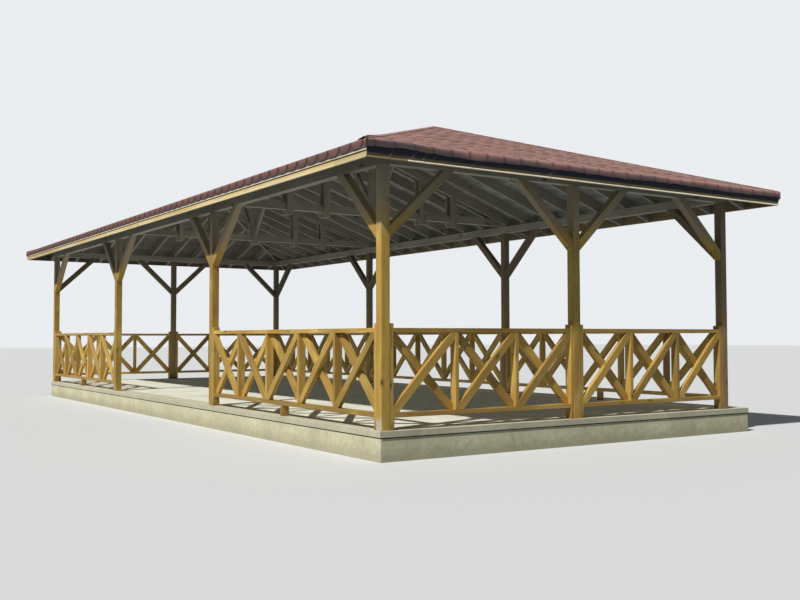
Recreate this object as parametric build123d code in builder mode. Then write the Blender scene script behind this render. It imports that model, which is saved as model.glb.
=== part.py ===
from build123d import *
import os
from math import atan, cos, hypot

# Hip-roofed timber gazebo, three long bays by two short ones, on a low concrete plinth.
# Millimetres, +Z up. X runs along the long side, Y across it, and the front is the -Y side.
# The origin is on the ground, under the middle of the roof.

os.makedirs("parts", exist_ok=True)

# Post grid
long_bay = 4700
short_bay = 2790
long_bays = 3
short_bays = 2
post_side = 110
post_height = 2870
post_chamfer = 5

# Concrete plinth
plinth_height = 260
slab_thickness = 70
slab_lip = 12
plinth_margin = 30
back_terrace = 400
coping_width = 280
coping_joint = 6

# Wall plates and knee braces
plate_width = 110
plate_depth = 120
brace_run = 870
brace_drop = 810
brace_width = 100
brace_thickness = 100

# Roof frame. The overhang runs from the post lines to the face of the fascia boards
overhang = 544
ridge_rise = 1176
end_run = 3553
rafter_width = 50
rafter_depth = 160
rafters_per_long_bay = 8
rafters_per_short_bay = 5
deck_thickness = 22
ridge_beam_width = 50
ridge_beam_depth = 200

# Eaves: felt turned down over a batten on the fascia, and hanging clear of it on the two ends
shingle_thickness = 12
skirt_thickness = 9
skirt_height = 110
end_skirt_height = 92
end_skirt_gap = 17
end_skirt_radius = 32
batten_thickness = 9
batten_show = 13
fascia_thickness = 28
fascia_height = 158
mitre_gap = 2

# Felt caps folded over the hips and the ridge
cap_width = 250
cap_thickness = 8

# Trusses
tie_width = 100
tie_depth = 120
hanger_width = 100
hanger_thickness = 50
hanger_drop = 80
hanger_offsets = [-1580, -920, 0, 920, 1580]
king_side = 100
ridge_brace_run = 650
ridge_brace_width = 100
ridge_brace_thickness = 50

# Balustrades
rail_depth = 100
rail_height = 50
top_rail_top = 1100
bottom_rail_bottom = 135
upright_width = 50
end_upright_rise = 50
diagonal_width = 95
long_bay_panels = 5
short_bay_panels = 3
foot_block_width = 50

# Places that follow from the sizes above
half_length = long_bay * long_bays / 2
half_width = short_bay * short_bays / 2
felt_reach = skirt_thickness + batten_thickness
end_felt_reach = felt_reach + end_skirt_gap
eave_x = half_length + overhang + end_felt_reach
eave_y = half_width + overhang + felt_reach
ridge_x = eave_x - end_run
floor_top = plinth_height + slab_thickness
plate_bottom = floor_top + post_height
plate_top = plate_bottom + plate_depth
slope_y = ridge_rise / eave_y
slope_x = ridge_rise / end_run
pitch_factor = 1 / cos(atan(slope_y))
rafter_plumb = rafter_depth * pitch_factor
deck_plumb = deck_thickness * pitch_factor
shingle_plumb = shingle_thickness * pitch_factor
cap_plumb = cap_thickness * pitch_factor
eave_under = plate_top - (overhang + felt_reach) * slope_y
eave_deck = eave_under + rafter_plumb
eave_skin = eave_deck + deck_plumb
eave_top = eave_skin + shingle_plumb
roof_top = eave_top + ridge_rise
batten_bottom = eave_top - skirt_height - batten_show
fascia_bottom = eave_deck + felt_reach * slope_y - fascia_height

long_side_x = [(i - long_bays / 2) * long_bay for i in range(long_bays + 1)]
short_side_y = [(i - short_bays / 2) * short_bay for i in range(short_bays + 1)]
truss_x = long_side_x[1:-1]

# Walls as upright planes at floor level: x along the wall, y up, z outwards
front_wall = Plane(origin=(0, -half_width, floor_top), x_dir=(1, 0, 0), z_dir=(0, -1, 0))
back_wall = Plane(origin=(0, half_width, floor_top), x_dir=(-1, 0, 0), z_dir=(0, 1, 0))
right_wall = Plane(origin=(half_length, 0, floor_top), x_dir=(0, 1, 0), z_dir=(1, 0, 0))
left_wall = Plane(origin=(-half_length, 0, floor_top), x_dir=(0, -1, 0), z_dir=(-1, 0, 0))


# Concrete base, floor slab and edge coping
slab_right = half_length + post_side / 2 + plinth_margin
slab_front = -half_width - post_side / 2 - plinth_margin
slab_back = half_width + post_side / 2 + back_terrace
slab_length = 2 * slab_right
slab_width = slab_back - slab_front
slab_middle = (slab_back + slab_front) / 2

with BuildPart() as plinth_base:
    with BuildSketch():
        with Locations((0, slab_middle)):
            Rectangle(slab_length - 2 * slab_lip, slab_width - 2 * slab_lip)
    extrude(amount=plinth_height)
plinth_base.part.label = "plinth_base"
export_step(plinth_base.part, "parts/plinth_base.step")

with BuildPart() as floor_slab:
    with BuildSketch(Plane.XY.offset(plinth_height)):
        with Locations((0, slab_middle)):
            Rectangle(slab_length - 2 * coping_width, slab_width - 2 * coping_width)
    extrude(amount=slab_thickness)
floor_slab.part.label = "floor_slab"
export_step(floor_slab.part, "parts/floor_slab.step")

with BuildPart() as edge_coping:
    with BuildSketch(Plane.XY.offset(plinth_height)):
        with Locations((0, slab_middle)):
            Rectangle(slab_length, slab_width)
            Rectangle(slab_length - 2 * coping_width, slab_width - 2 * coping_width, mode=Mode.SUBTRACT)
        with Locations(
            (slab_right - coping_width, slab_front + coping_width / 2),
            (-slab_right + coping_width, slab_front + coping_width / 2),
            (slab_right - coping_width, slab_back - coping_width / 2),
            (-slab_right + coping_width, slab_back - coping_width / 2),
        ):
            Rectangle(coping_joint, coping_width, mode=Mode.SUBTRACT)
    extrude(amount=slab_thickness)
edge_coping.part.label = "edge_coping"
export_step(edge_coping.part, "parts/edge_coping.step")


# Posts
post_places = {}
for number, x in enumerate(long_side_x, 1):
    post_places[f"post_front_{number}"] = (x, -half_width)
    post_places[f"post_back_{number}"] = (x, half_width)
for y in short_side_y[1:-1]:
    post_places["post_left_middle"] = (-half_length, y)
    post_places["post_right_middle"] = (half_length, y)

for name, place in post_places.items():
    with BuildPart() as post:
        with BuildSketch(Plane.XY.offset(floor_top)):
            with Locations(place):
                Rectangle(post_side, post_side)
        extrude(amount=post_height)
        chamfer(post.edges().filter_by(Axis.Z), post_chamfer)
    post.part.label = name
    export_step(post.part, f"parts/{name}.step")


# Wall plates, half lapped where they cross: the long ones keep their lower half, the short ones their upper
def wall_plate(wall, length, housing_level):
    """A plate with half of its depth cut away at both ends, about housing_level over the floor."""
    end = (length - plate_width) / 2
    with BuildPart() as plate:
        with BuildSketch(wall):
            with Locations((0, post_height + plate_depth / 2)):
                Rectangle(length, plate_depth)
            with Locations((-end, housing_level), (end, housing_level)):
                Rectangle(plate_width, plate_depth / 2, mode=Mode.SUBTRACT)
        extrude(amount=plate_width / 2, both=True)
    return plate.part


long_plate = 2 * half_length + plate_width
short_plate = 2 * half_width + plate_width
upper_half = post_height + plate_depth * 3 / 4
lower_half = post_height + plate_depth / 4
plates = {
    "plate_front": (front_wall, long_plate, upper_half),
    "plate_back": (back_wall, long_plate, upper_half),
    "plate_left": (left_wall, short_plate, lower_half),
    "plate_right": (right_wall, short_plate, lower_half),
}
for name, (wall, length, housing_level) in plates.items():
    plate = wall_plate(wall, length, housing_level)
    plate.label = name
    export_step(plate, f"parts/{name}.step")


# Knee braces, from post faces up to the plates, to both sides of each post
brace_length = hypot(brace_run, brace_drop)
brace_foot_cut = brace_width * brace_length / brace_run
brace_head_cut = brace_width * brace_length / brace_drop


def knee_braces(wall, post_xs):
    with BuildPart() as braces:
        with BuildSketch(wall):
            for x in post_xs:
                for side in (-1, 1):
                    face = x + side * post_side / 2
                    if abs(face) > abs(post_xs[0]):
                        continue
                    with BuildLine():
                        Polyline(
                            (face, post_height - brace_drop),
                            (face + side * brace_run, post_height),
                            (face + side * (brace_run - brace_head_cut), post_height),
                            (face, post_height - brace_drop + brace_foot_cut),
                            close=True,
                        )
                    make_face()
        extrude(amount=brace_thickness / 2, both=True)
    return braces.part


brace_rows = {
    "knee_braces_front": (front_wall, long_side_x),
    "knee_braces_back": (back_wall, long_side_x),
    "knee_braces_left": (left_wall, short_side_y),
    "knee_braces_right": (right_wall, short_side_y),
}
for name, (wall, post_xs) in brace_rows.items():
    braces = knee_braces(wall, post_xs)
    braces.label = name
    export_step(braces, f"parts/{name}.step")


# Roof planes in plan: the two long slopes are trapezia, the two ends triangles
sides = ("front", "back", "left", "right")


def slope_outline(side, inset=0):
    """Corners of one slope in plan, drawn in by inset from its hip lines."""
    hip = hypot(end_run, eave_y)
    if side in ("front", "back"):
        s = -1 if side == "front" else 1
        shift = inset * hip / eave_y
        return [
            (-eave_x + shift, s * eave_y),
            (eave_x - shift, s * eave_y),
            (ridge_x - shift, 0),
            (-ridge_x + shift, 0),
        ]
    s = -1 if side == "left" else 1
    shift = inset * hip / end_run
    tip = ridge_x + inset * hip / eave_y
    return [
        (s * eave_x, -eave_y + shift),
        (s * eave_x, eave_y - shift),
        (s * tip, 0),
    ]


def over_slope(side, inset=0):
    """Upright prism over one slope's plan outline, to cut what belongs to that slope."""
    with BuildPart() as prism:
        with BuildSketch():
            with BuildLine():
                Polyline(*slope_outline(side, inset), close=True)
            make_face()
        extrude(amount=roof_top)
    return prism.part


def slope_plane(side, across=0):
    """Upright plane across a slope: x runs from the eave inwards, y is the height."""
    if side == "front":
        return Plane(origin=(across, -eave_y, 0), x_dir=(0, 1, 0), z_dir=(1, 0, 0))
    if side == "back":
        return Plane(origin=(across, eave_y, 0), x_dir=(0, -1, 0), z_dir=(-1, 0, 0))
    if side == "right":
        return Plane(origin=(eave_x, across, 0), x_dir=(-1, 0, 0), z_dir=(0, 1, 0))
    return Plane(origin=(-eave_x, across, 0), x_dir=(1, 0, 0), z_dir=(0, -1, 0))


def slope_of(side):
    return slope_y if side in ("front", "back") else slope_x


def run_of(side):
    return eave_y if side in ("front", "back") else end_run


def eave_length(side):
    return 2 * eave_x if side in ("front", "back") else 2 * eave_y


def fascia_face(side):
    """How far the face of the fascia board lies in from the edge of the felt."""
    return felt_reach if side in ("front", "back") else end_felt_reach


def tail_inset(side):
    return fascia_face(side) + fascia_thickness


def under_slopes(eave_level):
    """Solid below the four slopes that rise from the eave line at eave_level."""
    with BuildPart() as body:
        with BuildSketch():
            Rectangle(2 * eave_x, 2 * eave_y)
        extrude(amount=eave_level + ridge_rise)
        for sx, sy in ((1, 0), (-1, 0), (0, 1), (0, -1)):
            eave = (sx * eave_x, sy * eave_y, eave_level)
            split(bisect_by=Plane(origin=eave, z_dir=(sx * slope_x, sy * slope_y, 1)), keep=Keep.BOTTOM)
    return body.part


for side in sides:
    slope = slope_of(side)
    run = run_of(side)
    deck_edge = fascia_face(side) - batten_thickness
    hangs_free = deck_edge > skirt_thickness
    skirt_bottom = eave_top - (end_skirt_height if hangs_free else skirt_height)
    with BuildPart() as deck:
        with BuildSketch(slope_plane(side)):
            with BuildLine():
                Polyline(
                    (deck_edge, eave_deck + deck_edge * slope),
                    (run, eave_deck + run * slope),
                    (run, eave_skin + run * slope),
                    (deck_edge, eave_skin + deck_edge * slope),
                    close=True,
                )
            make_face()
        extrude(amount=eave_length(side) / 2, both=True)
        add(over_slope(side), mode=Mode.INTERSECT)
    deck.part.label = f"roof_deck_{side}"
    export_step(deck.part, f"parts/roof_deck_{side}.step")

    outer_bend = (0, eave_top)
    inner_bend = (skirt_thickness, eave_skin + skirt_thickness * slope)
    with BuildPart() as shingles:
        with BuildSketch(slope_plane(side)) as section:
            with BuildLine():
                Polyline(
                    (0, skirt_bottom),
                    (skirt_thickness, skirt_bottom),
                    inner_bend,
                    (run, eave_skin + run * slope),
                    (run, eave_top + run * slope),
                    outer_bend,
                    close=True,
                )
            make_face()
            if hangs_free:
                fillet(section.vertices().sort_by_distance(outer_bend)[0], end_skirt_radius)
                fillet(section.vertices().sort_by_distance(inner_bend)[0], end_skirt_radius - skirt_thickness)
        extrude(amount=eave_length(side) / 2, both=True)
        add(over_slope(side), mode=Mode.INTERSECT)
    shingles.part.label = f"shingles_{side}"
    export_step(shingles.part, f"parts/shingles_{side}.step")


# Caps of felt folded over the hips and the ridge
with BuildPart() as hip_and_ridge_caps:
    with BuildSketch():
        with BuildLine():
            Line((-ridge_x, 0), (ridge_x, 0))
            for sx in (-1, 1):
                for sy in (-1, 1):
                    Line((sx * ridge_x, 0), (sx * eave_x, sy * eave_y))
        trace(line_width=cap_width)
        Rectangle(2 * eave_x, 2 * eave_y, mode=Mode.INTERSECT)
    extrude(amount=roof_top + cap_plumb)
    add(under_slopes(eave_top + cap_plumb), mode=Mode.INTERSECT)
    add(under_slopes(eave_top), mode=Mode.SUBTRACT)
hip_and_ridge_caps.part.label = "hip_and_ridge_caps"
export_step(hip_and_ridge_caps.part, "parts/hip_and_ridge_caps.step")


# Fascia boards, thicker at the head, where a batten carries the felt, and mitred at the corners
fascia_planes = {
    "front": (Plane(origin=(0, felt_reach - eave_y, 0)), eave_x - end_felt_reach),
    "back": (Plane(origin=(0, eave_y - felt_reach, 0), x_dir=(-1, 0, 0)), eave_x - end_felt_reach),
    "left": (Plane(origin=(end_felt_reach - eave_x, 0, 0), x_dir=(0, -1, 0)), eave_y - felt_reach),
    "right": (Plane(origin=(eave_x - end_felt_reach, 0, 0), x_dir=(0, 1, 0)), eave_y - felt_reach),
}


def fascia_layer(side, outer, inner, bottom):
    """A board from outer to inner, both measured inwards from the fascia's face, between 45 degree mitres."""
    plan, half = fascia_planes[side]
    joint = mitre_gap / 2
    with BuildPart() as board:
        with BuildSketch(plan.offset(bottom)):
            with BuildLine():
                Polyline(
                    (-half + outer + joint, outer),
                    (half - outer - joint, outer),
                    (half - inner - joint, inner),
                    (-half + inner + joint, inner),
                    close=True,
                )
            make_face()
        extrude(amount=eave_top - bottom)
    return board.part


with BuildPart() as fascia_boards:
    for side in sides:
        add(fascia_layer(side, 0, fascia_thickness, fascia_bottom))
        add(fascia_layer(side, -batten_thickness, 0, batten_bottom))
    add(under_slopes(eave_deck), mode=Mode.INTERSECT)
fascia_boards.part.label = "fascia_boards"
export_step(fascia_boards.part, "parts/fascia_boards.step")


# Ridge beam
ridge_deck = eave_deck + eave_y * slope_y
ridge_beam_top = ridge_deck - ridge_beam_width / 2 * slope_y
ridge_under = ridge_beam_top - ridge_beam_depth
with BuildPart() as ridge_beam:
    with BuildSketch(Plane.XY.offset(ridge_beam_top)):
        Rectangle(2 * ridge_x, ridge_beam_width)
    extrude(amount=-ridge_beam_depth)
ridge_beam.part.label = "ridge_beam"
export_step(ridge_beam.part, "parts/ridge_beam.step")


# Rafters: bird's-mouth over the plate, plumb cuts at the fascia and the ridge
def rafter_profile(side, inner_end):
    slope = slope_of(side)
    tail = tail_inset(side)
    heel = overhang + fascia_face(side) - plate_width / 2
    seat = (plate_top - eave_under) / slope
    return [
        (tail, eave_under + tail * slope),
        (heel, eave_under + heel * slope),
        (heel, plate_top),
        (seat, plate_top),
        (inner_end, eave_under + inner_end * slope),
        (inner_end, eave_deck + inner_end * slope),
        (tail, eave_deck + tail * slope),
    ]


def rafter_row(side, places, inner_end):
    with BuildPart() as row:
        for across in places:
            with BuildSketch(slope_plane(side, across)):
                with BuildLine():
                    Polyline(*rafter_profile(side, inner_end), close=True)
                make_face()
            extrude(amount=rafter_width / 2, both=True)
        add(over_slope(side, rafter_width / 2), mode=Mode.INTERSECT)
    return row.part


rafter_pitch = long_bay / rafters_per_long_bay
pair_offset = tie_width / 2 + rafter_width / 2
long_rafter_places = []
for step in range(long_bays * rafters_per_long_bay + 1):
    x = step * rafter_pitch - half_length
    near_truss = [t for t in truss_x if abs(x - t) < rafter_pitch / 2]
    if near_truss:
        long_rafter_places += [near_truss[0] - pair_offset, near_truss[0] + pair_offset]
    else:
        long_rafter_places.append(x)

end_rafter_pitch = short_bay / rafters_per_short_bay
end_rafter_places = []
for step in range(short_bays * rafters_per_short_bay + 1):
    end_rafter_places.append(step * end_rafter_pitch - half_width)

for side in ("front", "back"):
    rafters = rafter_row(side, long_rafter_places, eave_y - ridge_beam_width / 2)
    rafters.label = f"rafters_{side}"
    export_step(rafters, f"parts/rafters_{side}.step")

for side in ("left", "right"):
    rafters = rafter_row(side, end_rafter_places, end_run)
    rafters.label = f"rafters_{side}"
    export_step(rafters, f"parts/rafters_{side}.step")


# Hip rafters along the four plan diagonals, backed to both slopes and seated on the plates
hip_length = hypot(end_run, eave_y)


def hip_rafter(sx, sy):
    """One hip, for the corner with signs sx and sy."""
    corner = (sx * eave_x, sy * eave_y, 0)
    inwards = (-sx * end_run, -sy * eave_y, 0)
    sideways = (-sy * eave_y, sx * end_run, 0) if sx * sy < 0 else (sy * eave_y, -sx * end_run, 0)
    upright = Plane(origin=corner, x_dir=inwards, z_dir=sideways)
    tail_x = sx * (eave_x - tail_inset("right"))
    tail_y = sy * (eave_y - tail_inset("front"))
    with BuildPart() as hip:
        with BuildSketch(upright):
            with BuildLine():
                Polyline(
                    (0, upright.y_dir.Z * eave_under),
                    (hip_length, upright.y_dir.Z * (eave_under + ridge_rise)),
                    (hip_length, upright.y_dir.Z * (eave_deck + ridge_rise)),
                    (0, upright.y_dir.Z * eave_deck),
                    close=True,
                )
            make_face()
        extrude(amount=rafter_width / 2, both=True)
        with BuildSketch():
            with BuildLine():
                Polyline(
                    (tail_x, tail_y),
                    (0, tail_y),
                    (0, sy * ridge_beam_width / 2),
                    (tail_x, sy * ridge_beam_width / 2),
                    close=True,
                )
            make_face()
        extrude(amount=roof_top, mode=Mode.INTERSECT)
        add(under_slopes(eave_deck), mode=Mode.INTERSECT)
        with Locations((sx * half_length / 2, sy * half_width, plate_bottom + plate_depth / 2)):
            Box(half_length + plate_width, plate_width, plate_depth, mode=Mode.SUBTRACT)
        with Locations((sx * half_length, sy * half_width / 2, plate_bottom + plate_depth / 2)):
            Box(plate_width, half_width, plate_depth, mode=Mode.SUBTRACT)
    return hip.part


with BuildPart() as hip_rafters:
    for sx in (-1, 1):
        for sy in (-1, 1):
            add(hip_rafter(sx, sy))
hip_rafters.part.label = "hip_rafters"
export_step(hip_rafters.part, "parts/hip_rafters.step")


# Trusses on the two inner pairs of posts
def rafter_under(y):
    """Height of the rafters' underside over a place across the roof."""
    return eave_under + (eave_y - abs(y)) * slope_y


for name, x in zip(("left", "right"), truss_x):
    with BuildPart() as tie:
        with BuildSketch(Plane.XY.offset(plate_top)):
            with Locations((x, 0)):
                Rectangle(tie_width, 2 * half_width + plate_width)
        extrude(amount=tie_depth)
    tie.part.label = f"tie_beam_{name}"
    export_step(tie.part, f"parts/tie_beam_{name}.step")

    with BuildPart() as hangers:
        for y in hanger_offsets:
            for side in (-1, 1):
                layer = x + side * (tie_width + hanger_thickness) / 2
                inner = y - hanger_width / 2
                outer = y + hanger_width / 2
                points = [(inner, plate_top - hanger_drop), (outer, plate_top - hanger_drop)]
                points.append((outer, rafter_under(outer)))
                if y == 0:
                    points.append((0, rafter_under(0)))
                points.append((inner, rafter_under(inner)))
                with BuildSketch(Plane(origin=(layer, 0, 0), x_dir=(0, 1, 0), z_dir=(1, 0, 0))):
                    with BuildLine():
                        Polyline(*points, close=True)
                    make_face()
                extrude(amount=hanger_thickness / 2, both=True)
        with Locations((x, 0, ridge_beam_top)):
            Box(tie_width + 2 * hanger_thickness, ridge_beam_width, 2 * ridge_beam_depth, mode=Mode.SUBTRACT)
    hangers.part.label = f"truss_hangers_{name}"
    export_step(hangers.part, f"parts/truss_hangers_{name}.step")


# King posts on the tie beams, with braces along the roof up to the ridge beam
king_foot = plate_top + tie_depth
with BuildPart() as king_posts:
    with BuildSketch(Plane.XY.offset(king_foot)):
        with Locations(*[(x, 0) for x in truss_x]):
            Rectangle(tie_width, king_side)
    extrude(amount=ridge_under - king_foot)
king_posts.part.label = "king_posts"
export_step(king_posts.part, "parts/king_posts.step")

ridge_brace_drop = ridge_under - king_foot
ridge_brace_length = hypot(ridge_brace_run, ridge_brace_drop)
ridge_brace_head = ridge_brace_width * ridge_brace_length / ridge_brace_drop
ridge_brace_foot = ridge_brace_width * ridge_brace_length / ridge_brace_run
with BuildPart() as ridge_braces:
    with BuildSketch(Plane.XZ):
        for x in truss_x:
            for side in (-1, 1):
                face = x + side * (tie_width / 2 + hanger_thickness)
                with BuildLine():
                    Polyline(
                        (face, king_foot),
                        (face + side * ridge_brace_run, ridge_under),
                        (face + side * (ridge_brace_run - ridge_brace_head), ridge_under),
                        (face, king_foot + ridge_brace_foot),
                        close=True,
                    )
                make_face()
    extrude(amount=ridge_brace_thickness / 2, both=True)
ridge_braces.part.label = "ridge_braces"
export_step(ridge_braces.part, "parts/ridge_braces.step")


# Balustrades with crossed diagonals in two layers
def balustrade(wall, centre, bay, panels, outer_rising):
    """One bay: outer_rising lists, per panel, if the outer diagonal rises to the right."""
    clear = bay - post_side
    left = centre - clear / 2
    cell = (clear - (panels + 1) * upright_width) / panels
    low = bottom_rail_bottom + rail_height
    high = top_rail_top - rail_height
    slant = hypot(cell, high - low)
    along = diagonal_width / 2 * slant / (high - low)
    rise = diagonal_width / 2 * slant / cell
    rail_length = clear - 2 * upright_width
    with BuildPart() as panel:
        with BuildSketch(wall):
            with Locations((centre, top_rail_top - rail_height / 2)):
                Rectangle(rail_length, rail_height)
            with Locations((centre, bottom_rail_bottom + rail_height / 2)):
                Rectangle(rail_length, rail_height)
            for end in (left + upright_width / 2, left + clear - upright_width / 2):
                with Locations((end, (top_rail_top + end_upright_rise) / 2)):
                    Rectangle(upright_width, top_rail_top + end_upright_rise)
            for number in range(1, panels):
                middle = left + number * (cell + upright_width) + upright_width / 2
                with Locations((middle, (low + high) / 2)):
                    Rectangle(upright_width, high - low)
            if panels == long_bay_panels:
                with Locations((centre, bottom_rail_bottom / 2)):
                    Rectangle(foot_block_width, bottom_rail_bottom)
        extrude(amount=rail_depth / 2, both=True)
        for number, rising_outside in enumerate(outer_rising):
            start = left + upright_width + number * (cell + upright_width)
            stop = start + cell
            for rising in (True, False):
                bottom, top = (low, high) if rising else (high, low)
                tip = 1 if rising else -1
                with BuildSketch(wall):
                    with BuildLine():
                        Polyline(
                            (start, bottom),
                            (start + along, bottom),
                            (stop, top - tip * rise),
                            (stop, top),
                            (stop - along, top),
                            (start, bottom + tip * rise),
                            close=True,
                        )
                    make_face()
                outside = rising == rising_outside
                extrude(amount=rail_depth / 2 if outside else -rail_depth / 2)
    return panel.part


rising = [True] * long_bay_panels
falling = [False] * long_bay_panels
balustrades = {
    "balustrade_front_right": (front_wall, long_bay, [False, False, True, True, True]),
    "balustrade_front_left": (front_wall, -long_bay, falling),
    "balustrade_back_left": (back_wall, long_bay, rising),
    "balustrade_back_middle": (back_wall, 0, rising),
    "balustrade_back_right": (back_wall, -long_bay, rising),
}
for name, (wall, centre, outer_rising) in balustrades.items():
    panel = balustrade(wall, centre, long_bay, long_bay_panels, outer_rising)
    panel.label = name
    export_step(panel, f"parts/{name}.step")

for name, wall in (("left", left_wall), ("right", right_wall)):
    for end, centre in (("front", -short_bay / 2), ("back", short_bay / 2)):
        centre = centre if name == "right" else -centre
        panel = balustrade(wall, centre, short_bay, short_bay_panels, [True] * short_bay_panels)
        panel.label = f"balustrade_{name}_{end}"
        export_step(panel, f"parts/balustrade_{name}_{end}.step")
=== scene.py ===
import math
import random

import bpy
import numpy as np
from mathutils import Matrix, Vector


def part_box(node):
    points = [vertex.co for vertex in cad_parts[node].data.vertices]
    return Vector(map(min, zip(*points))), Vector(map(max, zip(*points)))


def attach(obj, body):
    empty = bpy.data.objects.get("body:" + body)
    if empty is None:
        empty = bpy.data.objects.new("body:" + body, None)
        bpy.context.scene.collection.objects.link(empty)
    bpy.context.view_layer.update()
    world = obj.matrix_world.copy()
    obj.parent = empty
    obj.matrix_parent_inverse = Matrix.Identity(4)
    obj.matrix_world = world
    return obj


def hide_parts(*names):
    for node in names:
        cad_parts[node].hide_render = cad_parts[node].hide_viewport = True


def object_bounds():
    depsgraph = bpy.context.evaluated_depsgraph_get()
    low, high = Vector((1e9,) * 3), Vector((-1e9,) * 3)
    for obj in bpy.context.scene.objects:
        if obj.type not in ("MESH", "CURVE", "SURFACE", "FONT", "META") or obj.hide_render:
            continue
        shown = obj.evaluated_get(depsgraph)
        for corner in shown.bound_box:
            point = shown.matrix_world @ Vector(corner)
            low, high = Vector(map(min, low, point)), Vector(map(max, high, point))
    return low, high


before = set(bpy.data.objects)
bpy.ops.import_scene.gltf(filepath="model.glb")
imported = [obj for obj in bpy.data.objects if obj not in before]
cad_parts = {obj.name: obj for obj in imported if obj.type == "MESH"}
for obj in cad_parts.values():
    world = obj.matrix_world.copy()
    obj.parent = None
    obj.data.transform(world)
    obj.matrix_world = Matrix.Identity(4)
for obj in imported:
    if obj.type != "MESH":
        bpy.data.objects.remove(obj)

# Garden gazebo: golden pine frame, red-brown felt shingles, pale concrete plinth.
# Metres, +Z up, +X along the long side, the front is the -Y side.

CAD_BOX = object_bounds()
UP = Vector((0, 0, 1))
chance = random.Random(17)

# Roof form
SKIRT = 0.11
FELT_SKIN = 0.012
EAVE_X = CAD_BOX[1].x
EAVE_Y = CAD_BOX[1].y
EAVE_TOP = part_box("shingles_front")[0].z + SKIRT
RIDGE_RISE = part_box("shingles_front")[1].z - EAVE_TOP
RIDGE_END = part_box("ridge_beam")[1].x
END_RUN = EAVE_X - RIDGE_END
PITCH_Y = math.atan2(RIDGE_RISE, EAVE_Y)
PITCH_X = math.atan2(RIDGE_RISE, END_RUN)
EAVE_SKIN = EAVE_TOP - FELT_SKIN / math.cos(PITCH_Y)
FREE_EAVES = ("left", "right")
FLOOR_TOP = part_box("floor_slab")[1].z
PLATE_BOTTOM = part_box("plate_front")[0].z

# Fascia boards, battens, drip beads, and a black strip behind the batten, painted shadow under it
FASCIA_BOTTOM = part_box("fascia_boards")[0].z
BATTEN_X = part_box("fascia_boards")[1].x
BATTEN_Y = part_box("fascia_boards")[1].y
BATTEN = 0.009
BATTEN_FOOT = 0.119
FASCIA = 0.028
FASCIA_GAP = 0.0012
FASCIA_JOINTS = {"front": (6.944, 2.46, -2.02, -5.2), "back": (5.1, 0.6, -3.9),
                 "right": (1.2,), "left": (-0.8,)}
BATTEN_JOINTS = {"front": (4.8, 0.9, -3.1, -6.4), "back": (3.3, -0.7, -4.7),
                 "right": (-1.1,), "left": (0.9,)}
DRIP = 0.018
DULL_BEAD = 0.5
SHADOW_STRIP = 0.001
SHADOW_STRIP_LAP = 0.06
SHADOW_STRIP_SHOWS = 0.011
SHADOW_STRIP_OFFSET = 0.0006

# Felt shingles, and how far they stay short of the hips, the eaves and the very top
TAB_PITCH = 0.24
TAB_WIDTH = 0.235
TAB_LENGTH = 0.30
TAB_TAPER = 0.068
TIP_SHARE = 0.52
FELT = 0.0027
EXPOSURE = 0.145
RAISED_COURSE = 0.0035
COURSE_SHIFT = 0.055
COURSE_SWAY = 0.004
WAVE = 0.0011
TAB_LIFT = 0.0012
TAB_SHIFT = 0.0018
TAB_SLIP = 0.0012
TAB_WARP = 0.001
HIP_GAP = 0.001
INSIDE_EAVE = 0.0005
INSIDE_TOP = 0.0003

# Felt at the eaves, and places along the ends where it is ragged, which also moves its painted shade, with the
# width and depth of each
FOLD_RADIUS = 0.012
DROOP_RADIUS = 0.045
DROOP = 0.118
TIP_RISE = 0.008
TIP_JITTER = 0.004
RAGGED = ((0.5, 0.22, 0.24), (1.38, 0.16, -0.26), (2.5, 0.12, -0.16), (4.1, 0.2, 0.12))
STARTER = FELT - 0.0004
STARTER_GAP = 0.0002
STARTER_FOOT = {"front": 0.102, "back": 0.102, "left": 0.138, "right": 0.138}

# Torn strands at the ends: distance from the front end of the eave, length and lean
STRANDS = {
    "right": ((0.36, 0.125, -0.6), (0.66, 0.105, -0.9), (0.78, 0.115, -0.7), (0.95, 0.09, -1.2),
              (1.50, 0.125, -1.4), (2.58, 0.12, -1.1)),
    "left": ((1.1, 0.10, 0.5), (4.4, 0.12, -0.4)),
}
STRAND_WIDTH = 0.011
STRAND_ROWS = 8
STRAND_INSET = 0.016
STRAND_TOP = 0.045

# Felt caps on the hips and the ridge, and how far the lowest gape at each corner
CAP_SIDE = 0.118
CAP_EXPOSURE = 0.15
CAP_LENGTH = 0.21
CAP_OVERRUN = 0.06
CAP_END_SHARE = 0.5
CAP_SINK = 0.0018
CAP_LIFT = 0.0008
CAP_FRAY = 0.0025
GAPE_RUN = 1.0
HIP_GAPES = {("right", "front"): 0.022, ("right", "back"): 0.004, ("left", "front"): 0.008,
             ("left", "back"): 0.004}

# Boards and timber, with the spare length that is cut off braces and diagonals
EDGE_EASE = 0.004
POST_EASE = 0.005
BOARD_EASE = 0.002
THIN_EASE = 0.001
DECK_BOARD = 0.118
DECK_GAP = 0.003
DECK_THICKNESS = 0.022
DECK_RUN = 3.9
DECK_STAGGER = 0.37
BRACE_RUN = 0.87
BRACE_DROP = 0.81
BRACE_SIDE = 0.1
BRACE_SPARE = 0.15
SCREW_HEAD = 0.009
SCREW_INSET = 0.07
RAIL_DEPTH = 0.1
RAIL_HEIGHT = 0.05
RAIL_TOP = 1.1
BOTTOM_RAIL = 0.135
UPRIGHT = 0.05
UPRIGHT_RISE = 0.05
DIAGONAL = 0.095
DIAGONAL_SPARE = 0.1
LAP_GAP = 0.001

# Coping slabs, and where the stain fades out at the foot of the plinth
COPING = 0.28
PLINTH_STAIN_TOP = 0.03
SLAB_RUN = 2.2
SLAB_JOINT = 0.005

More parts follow.
